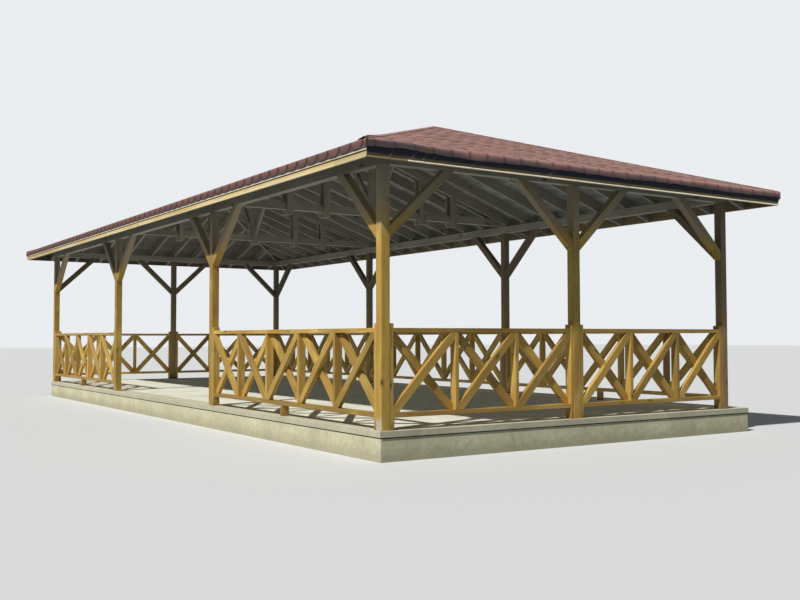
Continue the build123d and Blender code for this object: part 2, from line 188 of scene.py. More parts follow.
# Camera and light: places and sizes in metres, angles in degrees, the lens in millimetres
EYE = (15.7565, -8.2840, 1.3261)
EYE_YAW = 33.277
EYE_PITCH = 2.239
EYE_ROLL = -0.106
LENS = 43.087
SUN_AZIMUTH = 19.5
SUN_HEIGHT = 48.3
SUN_WIDTH = 1.5
SUN_STRENGTH = 3.7
SKY_COLOUR = (0.74, 0.87, 1, 1)
SKY_STRENGTH = 0.12
BOUNCE_COLOUR = (0.80, 0.90, 1)
BOUNCE_POWER = 112
BOUNCE_RISE = 0.02
STUDIO_SIZE = 240
STUDIO_DROP = 0.002

# Roughness of the pine, and the palette as sRGB
PINE_ROUGHNESS = 0.62
GOLD_PALE = (0.83, 0.69, 0.31)
GOLD_DEEP = (0.63, 0.47, 0.18)
GOLD_LIGHT = (0.93, 0.80, 0.42)
AMBER = (0.72, 0.55, 0.22)
RAIL_PALE = (0.86, 0.70, 0.34)
RAIL_DEEP = (0.65, 0.49, 0.20)
# The next colours are darker and greyer copies of the golden pine: painted shade of the back and left walls,
# and of the roof over upper parts.
SHADED_BACK_PALE = (0.60, 0.50, 0.32)
SHADED_BACK_DEEP = (0.46, 0.36, 0.21)
BACK_ROOF_SHADE = (0.37, 0.33, 0.26)
POST_ROOF_SHADE = (0.60, 0.56, 0.48)
BRACE_ROOF_SHADE = (0.62, 0.56, 0.46)
BROWN_PALE = (0.66, 0.63, 0.56)
BROWN_DEEP = (0.54, 0.51, 0.45)
SOFFIT_PALE = (0.62, 0.62, 0.59)
SOFFIT_DEEP = (0.53, 0.53, 0.51)
# A darker copy of the boarding for the left slope: painted shade.
SHADED_SOFFIT_PALE = (0.47, 0.44, 0.39)
SHADED_SOFFIT_DEEP = (0.40, 0.37, 0.32)
# Bare wood and painted shade of the boards' inner faces.
INNER_BARE_AND_SHADED = (0.36, 0.31, 0.23)
WASHED = (0.72, 0.74, 0.66)
DAMP_RED = (0.42, 0.25, 0.14)
FASCIA_PALE = (0.94, 0.84, 0.63)
FASCIA_DEEP = (0.83, 0.70, 0.44)
# Painted shade and painted light on the long fascia boards.
FASCIA_SHADE_GOLD = (0.82, 0.68, 0.42)
FASCIA_LIT_CREAM = (0.99, 0.94, 0.74)
BATTEN_PALE = (0.98, 0.94, 0.86)
BATTEN_DEEP = (0.93, 0.87, 0.74)
BEAD_PALE = (0.60, 0.53, 0.37)
BEAD_DEEP = (0.50, 0.43, 0.28)
# A darker copy of the fascia pine for the end boards: painted shade.
SHADED_END_FASCIA_PALE = (0.56, 0.50, 0.33)
SHADED_END_FASCIA_DEEP = (0.42, 0.36, 0.22)
KNOT = (0.30, 0.17, 0.08)
FELT_RED = (0.595, 0.365, 0.34)
FELT_BROWN = (0.54, 0.405, 0.35)
FELT_OLIVE = (0.42, 0.37, 0.30)
FELT_SLATE = (0.27, 0.26, 0.29)
# Dusty pink, partly real dust and partly painted sheen.
FELT_DUST_AND_SHEEN = (0.735, 0.60, 0.56)
FELT_DARK = (0.29, 0.22, 0.21)
BITUMEN = (0.07, 0.07, 0.07)
CUT_RED = (0.36, 0.24, 0.22)
CUT_BROWN = (0.31, 0.22, 0.21)
CUT_FOOT = (0.28, 0.21, 0.20)
STARTER_GREY = (0.39, 0.31, 0.30)
STARTER_PURPLE = (0.35, 0.30, 0.29)
# Dark blue-grey of the ends' underlay, partly painted shade.
UNDERLAY_GREY = (0.27, 0.28, 0.32)
UNDERLAY_SLATE = (0.23, 0.25, 0.29)
STRAND_GREY = (0.46, 0.40, 0.42)
STRAND_DULL = (0.40, 0.36, 0.38)
# Black of the strip that paints the shadow under the batten.
SHADOW_STRIP_BLACK = (0.13, 0.12, 0.12)
SHADOW_STRIP_DULL = (0.11, 0.10, 0.10)
SHADOW_STRIP_FOOT = (0.12, 0.11, 0.11)
CREAM = (0.90, 0.87, 0.715)
STAIN = (0.63, 0.60, 0.48)
# Painted shadow under the coping.
SHADOW_UNDER_COPING = (0.26, 0.25, 0.19)
COPING_PALE = (0.85, 0.82, 0.70)
COPING_STAIN = (0.64, 0.61, 0.51)
FLOOR_GREY = (0.95, 0.94, 0.85)
FLOOR_STAIN = (0.66, 0.65, 0.59)
STEEL = (0.55, 0.54, 0.52)
TARNISH = (0.38, 0.30, 0.24)
STUDIO_FLOOR = (0.86, 0.86, 0.85)
STUDIO_FLOOR_GLOW = (0.50, 0.53, 0.55)
STUDIO_WALL = (0.92, 0.93, 0.94)


def linear(colour):
    """An sRGB colour as the linear colour that the shader takes."""
    return tuple(v / 12.92 if v <= 0.04045 else ((v + 0.055) / 1.055) ** 2.4 for v in colour) + (1.0,)


def darker(colour, share):
    return tuple(v * share for v in colour)


# Finishes
def new_finish(name, roughness, specular=0.5):
    finish = bpy.data.materials.new(name)
    finish.use_nodes = True
    shader = finish.node_tree.nodes["Principled BSDF"]
    shader.inputs["Roughness"].default_value = roughness
    shader.inputs["Specular IOR Level"].default_value = specular
    return finish, shader


def link(finish, value, socket):
    finish.node_tree.links.new(value, socket)


def add_node(finish, kind, settings=(), **inputs):
    """Adds a node. An input is a value, or the output socket that feeds it."""
    node = finish.node_tree.nodes.new("ShaderNode" + kind)
    for key, value in dict(settings).items():
        setattr(node, key, value)
    for key, value in inputs.items():
        socket = node.inputs[int(key[1:])] if key[0] == "_" else node.inputs[key]
        if isinstance(value, bpy.types.NodeSocket):
            link(finish, value, socket)
        else:
            socket.default_value = value
    return node


def stretched(finish, coords, scale):
    return add_node(finish, "Mapping", Vector=coords, Scale=scale).outputs[0]


def clouds(finish, coords, scale, detail=3.0, roughness=0.55):
    """Soft noise of one scale, or of one along each axis."""
    if isinstance(scale, tuple):
        coords, scale = stretched(finish, coords, scale), 1.0
    noise = add_node(finish, "TexNoise", Vector=coords, Scale=scale, Detail=detail, Roughness=roughness)
    return noise.outputs[0]


def cells(finish, coords, scale, output):
    return add_node(finish, "TexVoronoi", Vector=coords, Scale=scale).outputs[output]


def ramp(finish, value, low, high, first=0.0, last=1.0):
    """The value spread from first at low to last at high."""
    return add_node(finish, "MapRange", _0=value, _1=low, _2=high, _3=first, _4=last).outputs[0]


def maths(finish, operation, first, second=0.0):
    return add_node(finish, "Math", {"operation": operation}, _0=first, _1=second).outputs[0]


def times(finish, first, second):
    return maths(finish, "MULTIPLY", first, second)


def vector_maths(finish, operation, output=0, **inputs):
    return add_node(finish, "VectorMath", {"operation": operation}, **inputs).outputs[output]


def blend(finish, share, first, second, mode="MIX"):
    first, second = (linear(value) if isinstance(value, tuple) else value for value in (first, second))
    return add_node(finish, "MixRGB", {"blend_type": mode}, Fac=share, Color1=first, Color2=second).outputs[0]


def tint(finish, colour, towards, share, strength):
    """Moves a colour towards another one, by the share times its strength."""
    return blend(finish, times(finish, share, strength), colour, towards)


def attribute(finish, name, output="Fac"):
    return add_node(finish, "Attribute", {"attribute_name": name}).outputs[output]


def object_coords(finish):
    return add_node(finish, "TexCoord").outputs["Object"]


def height_of(finish, coords):
    return add_node(finish, "SeparateXYZ", _0=coords).outputs[2]


def paint(finish, shader, colour, tone, first, last):
    """Gives the shader the colour, scaled from first to last as the tone goes from 0 to 1."""
    scale = ramp(finish, tone, 0.0, 1.0, first, last)
    link(finish, vector_maths(finish, "SCALE", _0=colour, Scale=scale), shader.inputs["Base Color"])


def bump(finish, shader, height, distance, strength):
    node = add_node(finish, "Bump", Height=height, Distance=distance, Strength=strength)
    link(finish, node.outputs[0], shader.inputs["Normal"])


def grain_coords(finish, direction, folded):
    """Coordinates whose X runs along the grain of a frame node's timbers."""
    place = object_coords(finish)
    if folded:
        place = vector_maths(finish, "ABSOLUTE", _0=place)
    along = Vector(direction).normalized()
    across = along.cross(UP).normalized() if abs(along.z) < 0.9 else Vector((1, 0, 0))
    parts = [vector_maths(finish, "DOT_PRODUCT", "Value", _0=place, _1=axis)
             for axis in (along, across, along.cross(across))]
    return add_node(finish, "CombineXYZ", _0=parts[0], _1=parts[1], _2=parts[2]).outputs[0]


def timber(name, pale, deep, direction=None, folded=False, wear=0.25, marks=(), roof_shade_marks=(), stain=0.0):
    """Stained pine: growth rings, fibres, knots and fine drying cracks along the grain.

    A mark is a colour, the heights between which it fades out, and its strength. It shows where the mesh's
    own value "marked" allows. A shade mark shows everywhere: it is painted shade of the roof over upper parts.
    stain is how much the golden stain varies over lengths of an arm or so.
    """
    finish, shader = new_finish(name, PINE_ROUGHNESS)
    if direction is None:
        place = attribute(finish, "grain", "Vector")
        tone = attribute(finish, "tone")
    else:
        place = grain_coords(finish, direction, folded)
        tone = clouds(finish, place, 1.3, 1.0)
    drift = add_node(finish, "TexNoise", Vector=stretched(finish, place, (0.9, 5, 5)), Scale=1.0, Detail=2.0)
    sway = vector_maths(finish, "MULTIPLY_ADD", _0=drift.outputs["Color"], _1=(0.0, 0.05, 0.05), _2=place)
    rings = add_node(finish, "TexWave", {"wave_type": "RINGS", "rings_direction": "X"}, Vector=sway,
                     Scale=42.0, Distortion=1.2, Detail=2.0).outputs["Fac"]
    late = ramp(finish, rings, 0.35, 0.95)
    fibres = clouds(finish, place, (3, 90, 90), 4.0, 0.7)
    patches = clouds(finish, place, (0.8, 4, 4))
    knots = cells(finish, stretched(finish, sway, (0.5, 1, 1)), 5.5, "Distance")
    knot = ramp(finish, knots, 0.11, 0.06)
    halo = ramp(finish, knots, 0.24, 0.09)
    cracks = clouds(finish, place, (1.4, 55, 55), 2.0)
    crack = times(finish, ramp(finish, cracks, 0.33, 0.30), ramp(finish, patches, 0.45, 0.55))

    colour = blend(finish, ramp(finish, patches, 0.3, 0.75), pale, deep)
    if stain:
        broad = clouds(finish, place, (1.6, 6, 6), 3.0, 0.6)
        colour = tint(finish, colour, GOLD_LIGHT, ramp(finish, broad, 0.46, 0.34), stain)
        colour = tint(finish, colour, AMBER, ramp(finish, broad, 0.54, 0.68), stain)
    colour = tint(finish, colour, deep, late, 0.42)
    colour = tint(finish, colour, darker(deep, 0.62), ramp(finish, fibres, 0.45, 0.75), 0.35)
    colour = tint(finish, colour, darker(deep, 0.62), halo, 0.4)
    colour = tint(finish, colour, KNOT, knot, 0.85)
    colour = tint(finish, colour, darker(KNOT, 0.5), crack, 0.7)
    # Real stains show where the mesh allows them; the shade marks are painted shade of the roof, shown
    # everywhere.
    for mark in (*marks, *roof_shade_marks):
        towards, full, none, strength = mark
        uneven = times(finish, maths(finish, "SUBTRACT", patches, 0.5), 0.08)
        level = maths(finish, "ADD", height_of(finish, object_coords(finish)), uneven)
        share = times(finish, ramp(finish, level, none, full), strength)
        if mark in marks:
            share = times(finish, share, attribute(finish, "marked"))
        colour = blend(finish, share, colour, towards)
    # Inner faces of the boards: bare wood, and painted shade.
    colour = tint(finish, colour, INNER_BARE_AND_SHADED, attribute(finish, "hidden"), 0.85)
    paint(finish, shader, colour, tone, 1.0 - wear, 1.0 + wear * 0.4)
    rough = ramp(finish, fibres, 0.2, 0.8, PINE_ROUGHNESS - 0.1, PINE_ROUGHNESS + 0.15)
    link(finish, rough, shader.inputs["Roughness"])
    height = maths(finish, "ADD", times(finish, fibres, 0.6), times(finish, rings, 0.3))
    height = maths(finish, "SUBTRACT", height, times(finish, crack, 1.5))
    bump(finish, shader, height, 0.0012, 0.8)
    return finish


def felt(name, base, second, foot=FELT_OLIVE):
    """Felt shingles: mineral granules, and a tone of their own for each tab.

    The mesh's own values say how far a point is "outlined" by dark edges, partly dark bitumen and partly
    painted shade between tabs, and a duller lower end; how far it turns to a dusty pink, partly real dust and
    partly painted sheen; how far it turns slate, partly its own colour and partly painted shade; and whether
    it is on the bare bitumen "under" side.
    """
    finish, shader = new_finish(name, 0.93, 0.2)
    place = object_coords(finish)
    grit = clouds(finish, place, 420.0, 2.0, 0.7)
    specks = cells(finish, place, 260.0, "Color")
    dust = clouds(finish, place, 2.2, 4.0)
    patches = clouds(finish, place, 19.0, 2.0)
    tone = attribute(finish, "tone")
    reach = attribute(finish, "reach")
    outlined = attribute(finish, "outlined")
    across = maths(finish, "ABSOLUTE", attribute(finish, "across"))
    # Dark edges: partly dark bitumen, partly painted shade between tabs.
    edge = maths(finish, "MAXIMUM", ramp(finish, across, 0.68, 0.99), ramp(finish, reach, 0.7, 1.0))
    lower = times(finish, ramp(finish, reach, 0.0, 0.8), outlined)
    # Dusty pink: partly real dust, partly painted sheen of the slopes.
    dust_sheen_share = ramp(finish, dust, 0.3, 0.75, 0.42, 0.72)
    colour = tint(finish, base, second, ramp(finish, tone, 0.35, 1.0), 0.8)
    colour = tint(finish, colour, second, ramp(finish, patches, 0.5, 0.7), 0.3)
    colour = tint(finish, colour, FELT_DUST_AND_SHEEN, dust_sheen_share, attribute(finish, "dust_and_sheen"))
    colour = tint(finish, colour, foot, lower, 0.85)
    # Slate: partly the felt's own colour, partly painted shade at the drooping ends and along the fold.
    colour = tint(finish, colour, FELT_SLATE, attribute(finish, "shade"), 0.85)
    colour = tint(finish, colour, FELT_DARK, ramp(finish, grit, 0.5, 0.72), 0.3)
    colour = tint(finish, colour, FELT_DARK, times(finish, edge, outlined), 0.7)
    colour = blend(finish, attribute(finish, "under"), colour, BITUMEN)
    colour = blend(finish, 0.12, colour, specks, "OVERLAY")
    paint(finish, shader, colour, tone, 1.06, 0.92)
    bump(finish, shader, grit, 0.0015, 0.6)
    return finish


def concrete(name, base, stain, foot_z=None, coping_shadow_z=None):
    """Cast concrete, clouded and pitted. A wall is stained up to foot_z, with a painted shadow line just under
    the last height given, where the coping overhangs.
    """
    finish, shader = new_finish(name, 0.88, 0.3)
    place = object_coords(finish)
    clouded = clouds(finish, place, 1.7, 6.0, 0.6)
    mottle = clouds(finish, place, 14.0, 5.0, 0.65)
    pits = cells(finish, place, 55.0, "Distance")
    pit = times(finish, ramp(finish, pits, 0.16, 0.08), ramp(finish, mottle, 0.5, 0.6))
    runs = clouds(finish, place, (6, 6, 0.7), 4.0)
    sand = clouds(finish, place, 180.0, 2.0)
    colour = blend(finish, ramp(finish, clouded, 0.35, 0.7), base, darker(base, 0.9))
    colour = tint(finish, colour, stain, ramp(finish, mottle, 0.45, 0.75), 0.3)
    colour = tint(finish, colour, stain, ramp(finish, runs, 0.55, 0.8), 0.3)
    if foot_z is not None:
        height = height_of(finish, place)
        foot = maths(finish, "ADD", height, times(finish, mottle, -0.16))
        colour = tint(finish, colour, stain, ramp(finish, foot, foot_z + 0.06, foot_z - 0.06), 0.5)
        # Painted shadow: a dark line just under the coping.
        ragged = maths(finish, "ADD", height, times(finish, mottle, -0.006))
        colour = blend(finish, ramp(finish, ragged, coping_shadow_z - 0.017, coping_shadow_z - 0.014), colour, SHADOW_UNDER_COPING)
    colour = tint(finish, colour, darker(stain, 0.6), pit, 0.5)
    paint(finish, shader, colour, attribute(finish, "tone"), 1.0, 0.92)
    relief = maths(finish, "SUBTRACT", maths(finish, "ADD", mottle, times(finish, sand, 0.35)), pit)
    bump(finish, shader, relief, 0.003, 0.6)
    return finish


def steel(name):
    finish, shader = new_finish(name, 0.45)
    shader.inputs["Metallic"].default_value = 0.85
    stains = clouds(finish, object_coords(finish), 60.0)
    link(finish, blend(finish, ramp(finish, stains, 0.4, 0.7), STEEL, TARNISH), shader.inputs["Base Color"])
    return finish


# Modelling helpers
def pick(*pieces):
    """Leaves only these pieces selected, the first of them active."""
    bpy.ops.object.select_all(action="DESELECT")
    for piece in pieces:
        piece.select_set(True)
    bpy.context.view_layer.objects.active = pieces[0]


def add_object(name, data):
    thing = bpy.data.objects.new(name, data)
    bpy.context.scene.collection.objects.link(thing)
    return thing


def block(name, centre, size):
    bpy.ops.object.select_all(action="DESELECT")
    bpy.ops.mesh.primitive_cube_add(size=1, location=centre)
    piece = bpy.context.active_object
    piece.name = name
    piece.scale = size
    bpy.ops.object.transform_apply(location=True, rotation=False, scale=True)
    return piece


def cut(piece, point, outwards, clear=True):
    """Cuts the piece at a plane, and drops what lies outwards of it unless it is only divided there."""
    pick(piece)
    bpy.ops.object.mode_set(mode="EDIT")
    bpy.ops.mesh.select_all(action="SELECT")
    bpy.ops.mesh.bisect(plane_co=point, plane_no=outwards, clear_outer=clear, use_fill=clear)
    bpy.ops.object.mode_set(mode="OBJECT")


def apply_modifier(piece, kind, **settings):
    pick(piece)
    modifier = piece.modifiers.new(kind.lower(), kind)
    for key, value in settings.items():
        setattr(modifier, key, value)
    bpy.ops.object.modifier_apply(modifier=modifier.name)


def ease_edges(piece, width=EDGE_EASE, segments=2):
    apply_modifier(piece, "BEVEL", width=width, segments=segments, limit_method="ANGLE",
                   angle_limit=math.radians(25), use_clamp_overlap=True)


def repeat(piece, count, step):
    apply_modifier(piece, "ARRAY", count=count, use_relative_offset=False, use_constant_offset=True,
                   constant_offset_displace=step)


def shift(piece, *step):
    piece.data.transform(Matrix.Translation(step))


def points_of(mesh):
    spots = np.empty(len(mesh.vertices) * 3, np.float32)
    mesh.vertices.foreach_get("co", spots)
    return spots.reshape(-1, 3)


def set_points(mesh, spots):
    mesh.vertices.foreach_set("co", np.ascontiguousarray(spots, np.float32).ravel())
    mesh.update()


def set_value(mesh, name, values):
    found = mesh.attributes.get(name) or mesh.attributes.new(name, "FLOAT", "POINT")
    found.data.foreach_set("value", np.ascontiguousarray(values, np.float32).ravel())


def mark_grain(mesh, chunk=None):
    """Gives every stick in the mesh a grain and a tone of its own. The mesh lies along X."""
    spots = points_of(mesh)
    chunk = chunk or len(spots)
    grouped = spots.reshape(-1, chunk, 3)
    shifts = np.array([[chance.uniform(0, 40), chance.uniform(-0.09, 0.09), chance.uniform(-0.09, 0.09)]
                       for _ in grouped])
    grain = grouped - grouped.mean(1, keepdims=True) + shifts[:, None, :]
    made = mesh.attributes.new("grain", "FLOAT_VECTOR", "POINT")
    made.data.foreach_set("vector", np.ascontiguousarray(grain, np.float32).ravel())
    set_value(mesh, "tone", np.repeat([chance.random() for _ in grouped], chunk))


def frame_of(first, second, third, origin):
    """The matrix of a frame with these axes at this origin."""
    matrix = Matrix((first, second, third)).transposed().to_4x4()
    matrix.translation = origin
    return matrix


# Sticks of each shape are modelled once
shaped = {}


def stick(start, end, width, depth, side, cuts=(), ease=EDGE_EASE):
    """A bevelled timber from start to end. width lies along side, and cuts are (point, outwards) planes."""
    start, end = Vector(start), Vector(end)
    along = (end - start).normalized()
    across = (Vector(side) - along * along.dot(Vector(side))).normalized()
    matrix = frame_of(along, across, along.cross(across), start)
    back = matrix.inverted()
    planes = [(back @ Vector(point), back.to_3x3() @ Vector(outwards)) for point, outwards in cuts]
    length = (end - start).length
    measures = [length, width, depth, *[value for plane in planes for vector in plane for value in vector]]
    key = tuple(round(measure, 4) for measure in measures)
    if key not in shaped:
        model = block("stick", (length / 2, 0, 0), (length, width, depth))
        for point, outwards in planes:
            cut(model, point, outwards)
        ease_edges(model, ease)
        shaped[key] = model.data.copy()
        bpy.data.objects.remove(model)
    mesh = shaped[key].copy()
    mark_grain(mesh)
    mesh.transform(matrix)
    return add_object("stick", mesh)


def joined(name, parts):
    pick(*parts)
    if len(parts) > 1:
        bpy.ops.object.join()
    piece = bpy.context.active_object
    piece.name = name
    piece.data.name = name
    return piece


def dress(piece, finish, slot, *nodes):
    """Rides a piece on the frame in place of its nodes, in this finish, or in its own where that is None."""
    if finish:
        piece.data.materials.clear()
        piece.data.materials.append(finish)
    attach(piece, "root")
    if nodes:
        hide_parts(*nodes)


def refinish(finish, *nodes):
    for node in nodes:
        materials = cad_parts[node].data.materials
        materials.clear()
        materials.append(finish)


# Walls as frames: along the wall, and outwards
WALLS = {
    "front": (Vector((1, 0, 0)), Vector((0, -1, 0))),
    "back": (Vector((-1, 0, 0)), Vector((0, 1, 0))),
    "right": (Vector((0, 1, 0)), Vector((1, 0, 0))),
    "left": (Vector((0, -1, 0)), Vector((-1, 0, 0))),
}

# Marks on the timber, by height: washed and damp feet, painted light and shade on the fascia, and painted
# shade of the roof on upper parts
post_marks = [(WASHED, FLOOR_TOP + 0.09, FLOOR_TOP + 0.16, 0.7)]
# Painted shade of the roof: the upper parts of posts and braces are greyed and darkened.
post_roof_shade_marks = [(POST_ROOF_SHADE, PLATE_BOTTOM - 0.3, PLATE_BOTTOM - 0.85, 0.85)]
back_roof_shade_marks = [(BACK_ROOF_SHADE, PLATE_BOTTOM - 1.0, PLATE_BOTTOM - 1.75, 0.75)]
brace_roof_shade_marks = [(BRACE_ROOF_SHADE, PLATE_BOTTOM - 0.4, PLATE_BOTTOM - 0.66, 0.92)]
rail_marks = [(DAMP_RED, FLOOR_TOP, FLOOR_TOP + 0.13, 0.7)]
# Painted light and shade on the long fascia boards: a pale lit strip at the foot, golden shade above it.
fascia_light_and_shade_marks = [(FASCIA_SHADE_GOLD, FASCIA_BOTTOM + 0.05, FASCIA_BOTTOM + 0.034, 0.4),
                (FASCIA_LIT_CREAM, FASCIA_BOTTOM + 0.014, FASCIA_BOTTOM + 0.034, 0.4)]

# The finishes of this gazebo
post_finish = timber("golden_post_pine", GOLD_PALE, GOLD_DEEP, marks=post_marks, roof_shade_marks=post_roof_shade_marks,
                     stain=0.6)
shaded_back_finish = timber("back_pine_painted_shade", SHADED_BACK_PALE, SHADED_BACK_DEEP, roof_shade_marks=back_roof_shade_marks, stain=0.15)
brace_finish = timber("golden_brace_pine_painted_shade_top", GOLD_PALE, GOLD_DEEP, roof_shade_marks=brace_roof_shade_marks, stain=0.4)
rail_finish = timber("golden_rail_pine", RAIL_PALE, RAIL_DEEP, wear=0.38, marks=rail_marks, stain=0.5)
fascia_finish = timber("pale_fascia_pine", FASCIA_PALE, FASCIA_DEEP, wear=0.18, marks=fascia_light_and_shade_marks)
batten_finish = timber("pale_batten_pine", BATTEN_PALE, BATTEN_DEEP, wear=0.1)
shaded_end_fascia_finish = timber("end_fascia_pine_painted_shade", SHADED_END_FASCIA_PALE, SHADED_END_FASCIA_DEEP, wear=0.18)
dull_bead_finish = timber("golden_bead_pine", BEAD_PALE, BEAD_DEEP, wear=0.1)
soffit_finish = timber("roof_boarding", SOFFIT_PALE, SOFFIT_DEEP, wear=0.35)
shaded_soffit_finish = timber("roof_boarding_painted_shade", SHADED_SOFFIT_PALE, SHADED_SOFFIT_DEEP, wear=0.3)
felt_finish = felt("red_brown_felt", FELT_RED, FELT_BROWN)
cut_finish = felt("bitumen_cut_edge", CUT_RED, CUT_BROWN, CUT_FOOT)
starter_finish = felt("grey_purple_starter_felt", STARTER_GREY, STARTER_PURPLE)
underlay_and_shade_finish = felt("dark_underlay_felt_painted_shade", UNDERLAY_GREY, UNDERLAY_SLATE)
strand_finish = felt("grey_torn_felt", STRAND_GREY, STRAND_DULL)
shadow_strip_finish = felt("black_painted_shadow_strip", SHADOW_STRIP_BLACK, SHADOW_STRIP_DULL, SHADOW_STRIP_FOOT)
plinth_finish = concrete("plinth_concrete_cream", CREAM, STAIN, PLINTH_STAIN_TOP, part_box("edge_coping")[0].z)
coping_finish = concrete("coping_concrete_pale", COPING_PALE, COPING_STAIN)
floor_finish = concrete("floor_concrete_grey", FLOOR_GREY, FLOOR_STAIN)
steel_finish = steel("zinc_screw_heads")


# Posts, with the stain washed out at the foot of some
POST_NODES = [f"post_{side}_{number}" for side in ("front", "back") for number in range(1, 5)]
POST_NODES += ["post_left_middle", "post_right_middle"]
WASHED_FEET = {"post_front_4": 1.0, "post_front_2": 0.5}
SLIGHTLY_WASHED = 0.15
ON_FACE = 0.002

for node in POST_NODES:
    low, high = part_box(node)
    middle = (low + high) / 2
    width = high.x - low.x
    foot, head = (middle.x, middle.y, low.z), (middle.x, middle.y, high.z)
    post = stick(foot, head, width, width, (1, 0, 0), ease=POST_EASE)
    fronts = points_of(post.data)[:, 1] < low.y + ON_FACE
    set_value(post.data, "marked", fronts * WASHED_FEET.get(node, SLIGHTLY_WASHED))
    # The back and left posts take a darker copy of the pine: painted shade.
    finish = post_finish if "front" in node or "right" in node else shaded_back_finish
    dress(joined(f"{node}_timber", [post]), finish, "post_timber", node)


# Knee braces
def screw_head(spot, outwards):
    """The domed head of a screw that stands on a face."""
    bpy.ops.mesh.primitive_cylinder_add(vertices=16, radius=SCREW_HEAD, depth=SCREW_HEAD * 0.7)
    head = bpy.context.active_object
    ease_edges(head, SCREW_HEAD * 0.25)
    head.data.transform(outwards.to_track_quat("Z", "Y").to_matrix().to_4x4())
    shift(head, *(spot + outwards * SCREW_HEAD * 0.3))
    head.data.materials.append(steel_finish)
    return head


def knee_braces(side, finish):
    """Braces of one wall, from the post faces up to the plate, with two screws at each end."""
    along, out = WALLS[side]
    low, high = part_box(f"knee_braces_{side}")
    centre = (low + high) / 2
    posts = [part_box(node) for node in POST_NODES]
    half_post = (posts[0][1].x - posts[0][0].x) / 2
    middles = [(a + b) / 2 - centre for a, b in posts]
    spots = sorted(middle.dot(along) for middle in middles if abs(middle.dot(out)) < half_post)
    parts = []
    for spot in spots:
        for turn in (-1, 1):
            face = spot + turn * half_post
            if abs(face) > max(spots):
                continue
            foot = centre + along * face
            foot.z = PLATE_BOTTOM - BRACE_DROP
            head = foot + along * turn * BRACE_RUN + UP * BRACE_DROP
            lean = (head - foot).normalized()
            lift = (UP - lean * lean.z).normalized() * BRACE_SIDE / 2
            start, end = foot + lift - lean * BRACE_SPARE, head + lift + lean * BRACE_SPARE
            ends = [(foot, -along * turn), (head, UP)]
            brace = stick(start, end, BRACE_SIDE, BRACE_SIDE, out, ends)
            brace.data.materials.append(finish)
            parts.append(brace)
            for fixing in (foot + lean * SCREW_INSET, head - lean * SCREW_INSET):
                for share in (-0.25, 0.25):
                    parts.append(screw_head(fixing + out * BRACE_SIDE * share, -lift.normalized()))
    return joined(f"knee_braces_{side}_timber", parts)


for side in WALLS:
    # The back and left braces take the darker copy of the pine: painted shade.
    finish = brace_finish if side in ("front", "right") else shaded_back_finish
    dress(knee_braces(side, finish), None, "frame_timber", f"knee_braces_{side}")


# Balustrades
def balustrade(node, side, outer_rising):
    """One bay. Of the two diagonals of each panel, outer_rising says which one lies in the outer layer."""
    along, out = WALLS[side]
    low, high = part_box(node)
    centre = (low + high) / 2
    centre.z = low.z
    panels = len(outer_rising)
    clear = abs((high - low).dot(along))
    cell = (clear - (panels + 1) * UPRIGHT) / panels
    under, over = BOTTOM_RAIL + RAIL_HEIGHT, RAIL_TOP - RAIL_HEIGHT

    def at(run, height, outwards=0.0):
        return centre + along * (run - clear / 2) + UP * height + out * outwards

    parts = []
    for height in (BOTTOM_RAIL + RAIL_HEIGHT / 2, RAIL_TOP - RAIL_HEIGHT / 2):
        parts.append(stick(at(UPRIGHT, height), at(clear - UPRIGHT, height), RAIL_DEPTH, RAIL_HEIGHT, out))
    uprights = [(run, 0, RAIL_TOP + UPRIGHT_RISE) for run in (UPRIGHT / 2, clear - UPRIGHT / 2)]
    uprights += [(UPRIGHT / 2 + number * (cell + UPRIGHT), under, over) for number in range(1, panels)]
    if panels > 3:
        uprights.append((clear / 2, 0, BOTTOM_RAIL))
    for run, foot, head in uprights:
        parts.append(stick(at(run, foot), at(run, head), RAIL_DEPTH, UPRIGHT, out))
    for number, rising_outside in enumerate(outer_rising):
        left = UPRIGHT + number * (cell + UPRIGHT)
        for rising in (True, False):
            layer = RAIL_DEPTH / 4 * (1 if rising == rising_outside else -1)
            foot, head = (left, left + cell) if rising else (left + cell, left)
            first, last = at(foot, under, layer), at(head, over, layer)
            spare = (last - first).normalized() * DIAGONAL_SPARE
            ends = [(at(left, under), -along), (at(left + cell, under), along), (first, -UP), (last, UP)]
            width = RAIL_DEPTH / 2 - LAP_GAP
            parts.append(stick(first - spare, last + spare, width, DIAGONAL, out, ends))
    panel = joined(f"{node}_timber", parts)
    set_value(panel.data, "marked", np.ones(len(panel.data.vertices)))
    return panel


BALUSTRADES = {
    "balustrade_front_right": [False, False, True, True, True],
    "balustrade_front_left": [False] * 5,
    "balustrade_back_left": [True] * 5,
    "balustrade_back_middle": [True] * 5,
    "balustrade_back_right": [True] * 5,
    "balustrade_left_front": [True] * 3,
    "balustrade_left_back": [True] * 3,
    "balustrade_right_front": [True] * 3,
    "balustrade_right_back": [True] * 3,
}
for node, outer_rising in BALUSTRADES.items():
    side = node.split("_")[1]
    dress(balustrade(node, side, outer_rising), rail_finish, "balustrade_timber", node)


# Roof slopes: u along the eave, v up the slope, n outwards, from the middle of the eave on the boarding
def pitch_of(side):
    return PITCH_X if side in FREE_EAVES else PITCH_Y


def reach_of(side):
    """Distance of the eave from the middle of the roof."""
    return EAVE_X if side in FREE_EAVES else EAVE_Y


def batten_reach(side):
    """Distance of the batten's face from the middle of the roof."""
    return BATTEN_X if side in FREE_EAVES else BATTEN_Y


def slope_matrix(side):
    along, out = WALLS[side]
    pitch = pitch_of(side)
    upwards = -out * math.cos(pitch) + UP * math.sin(pitch)
    return frame_of(along, upwards, along.cross(upwards), out * reach_of(side) + UP * EAVE_SKIN)


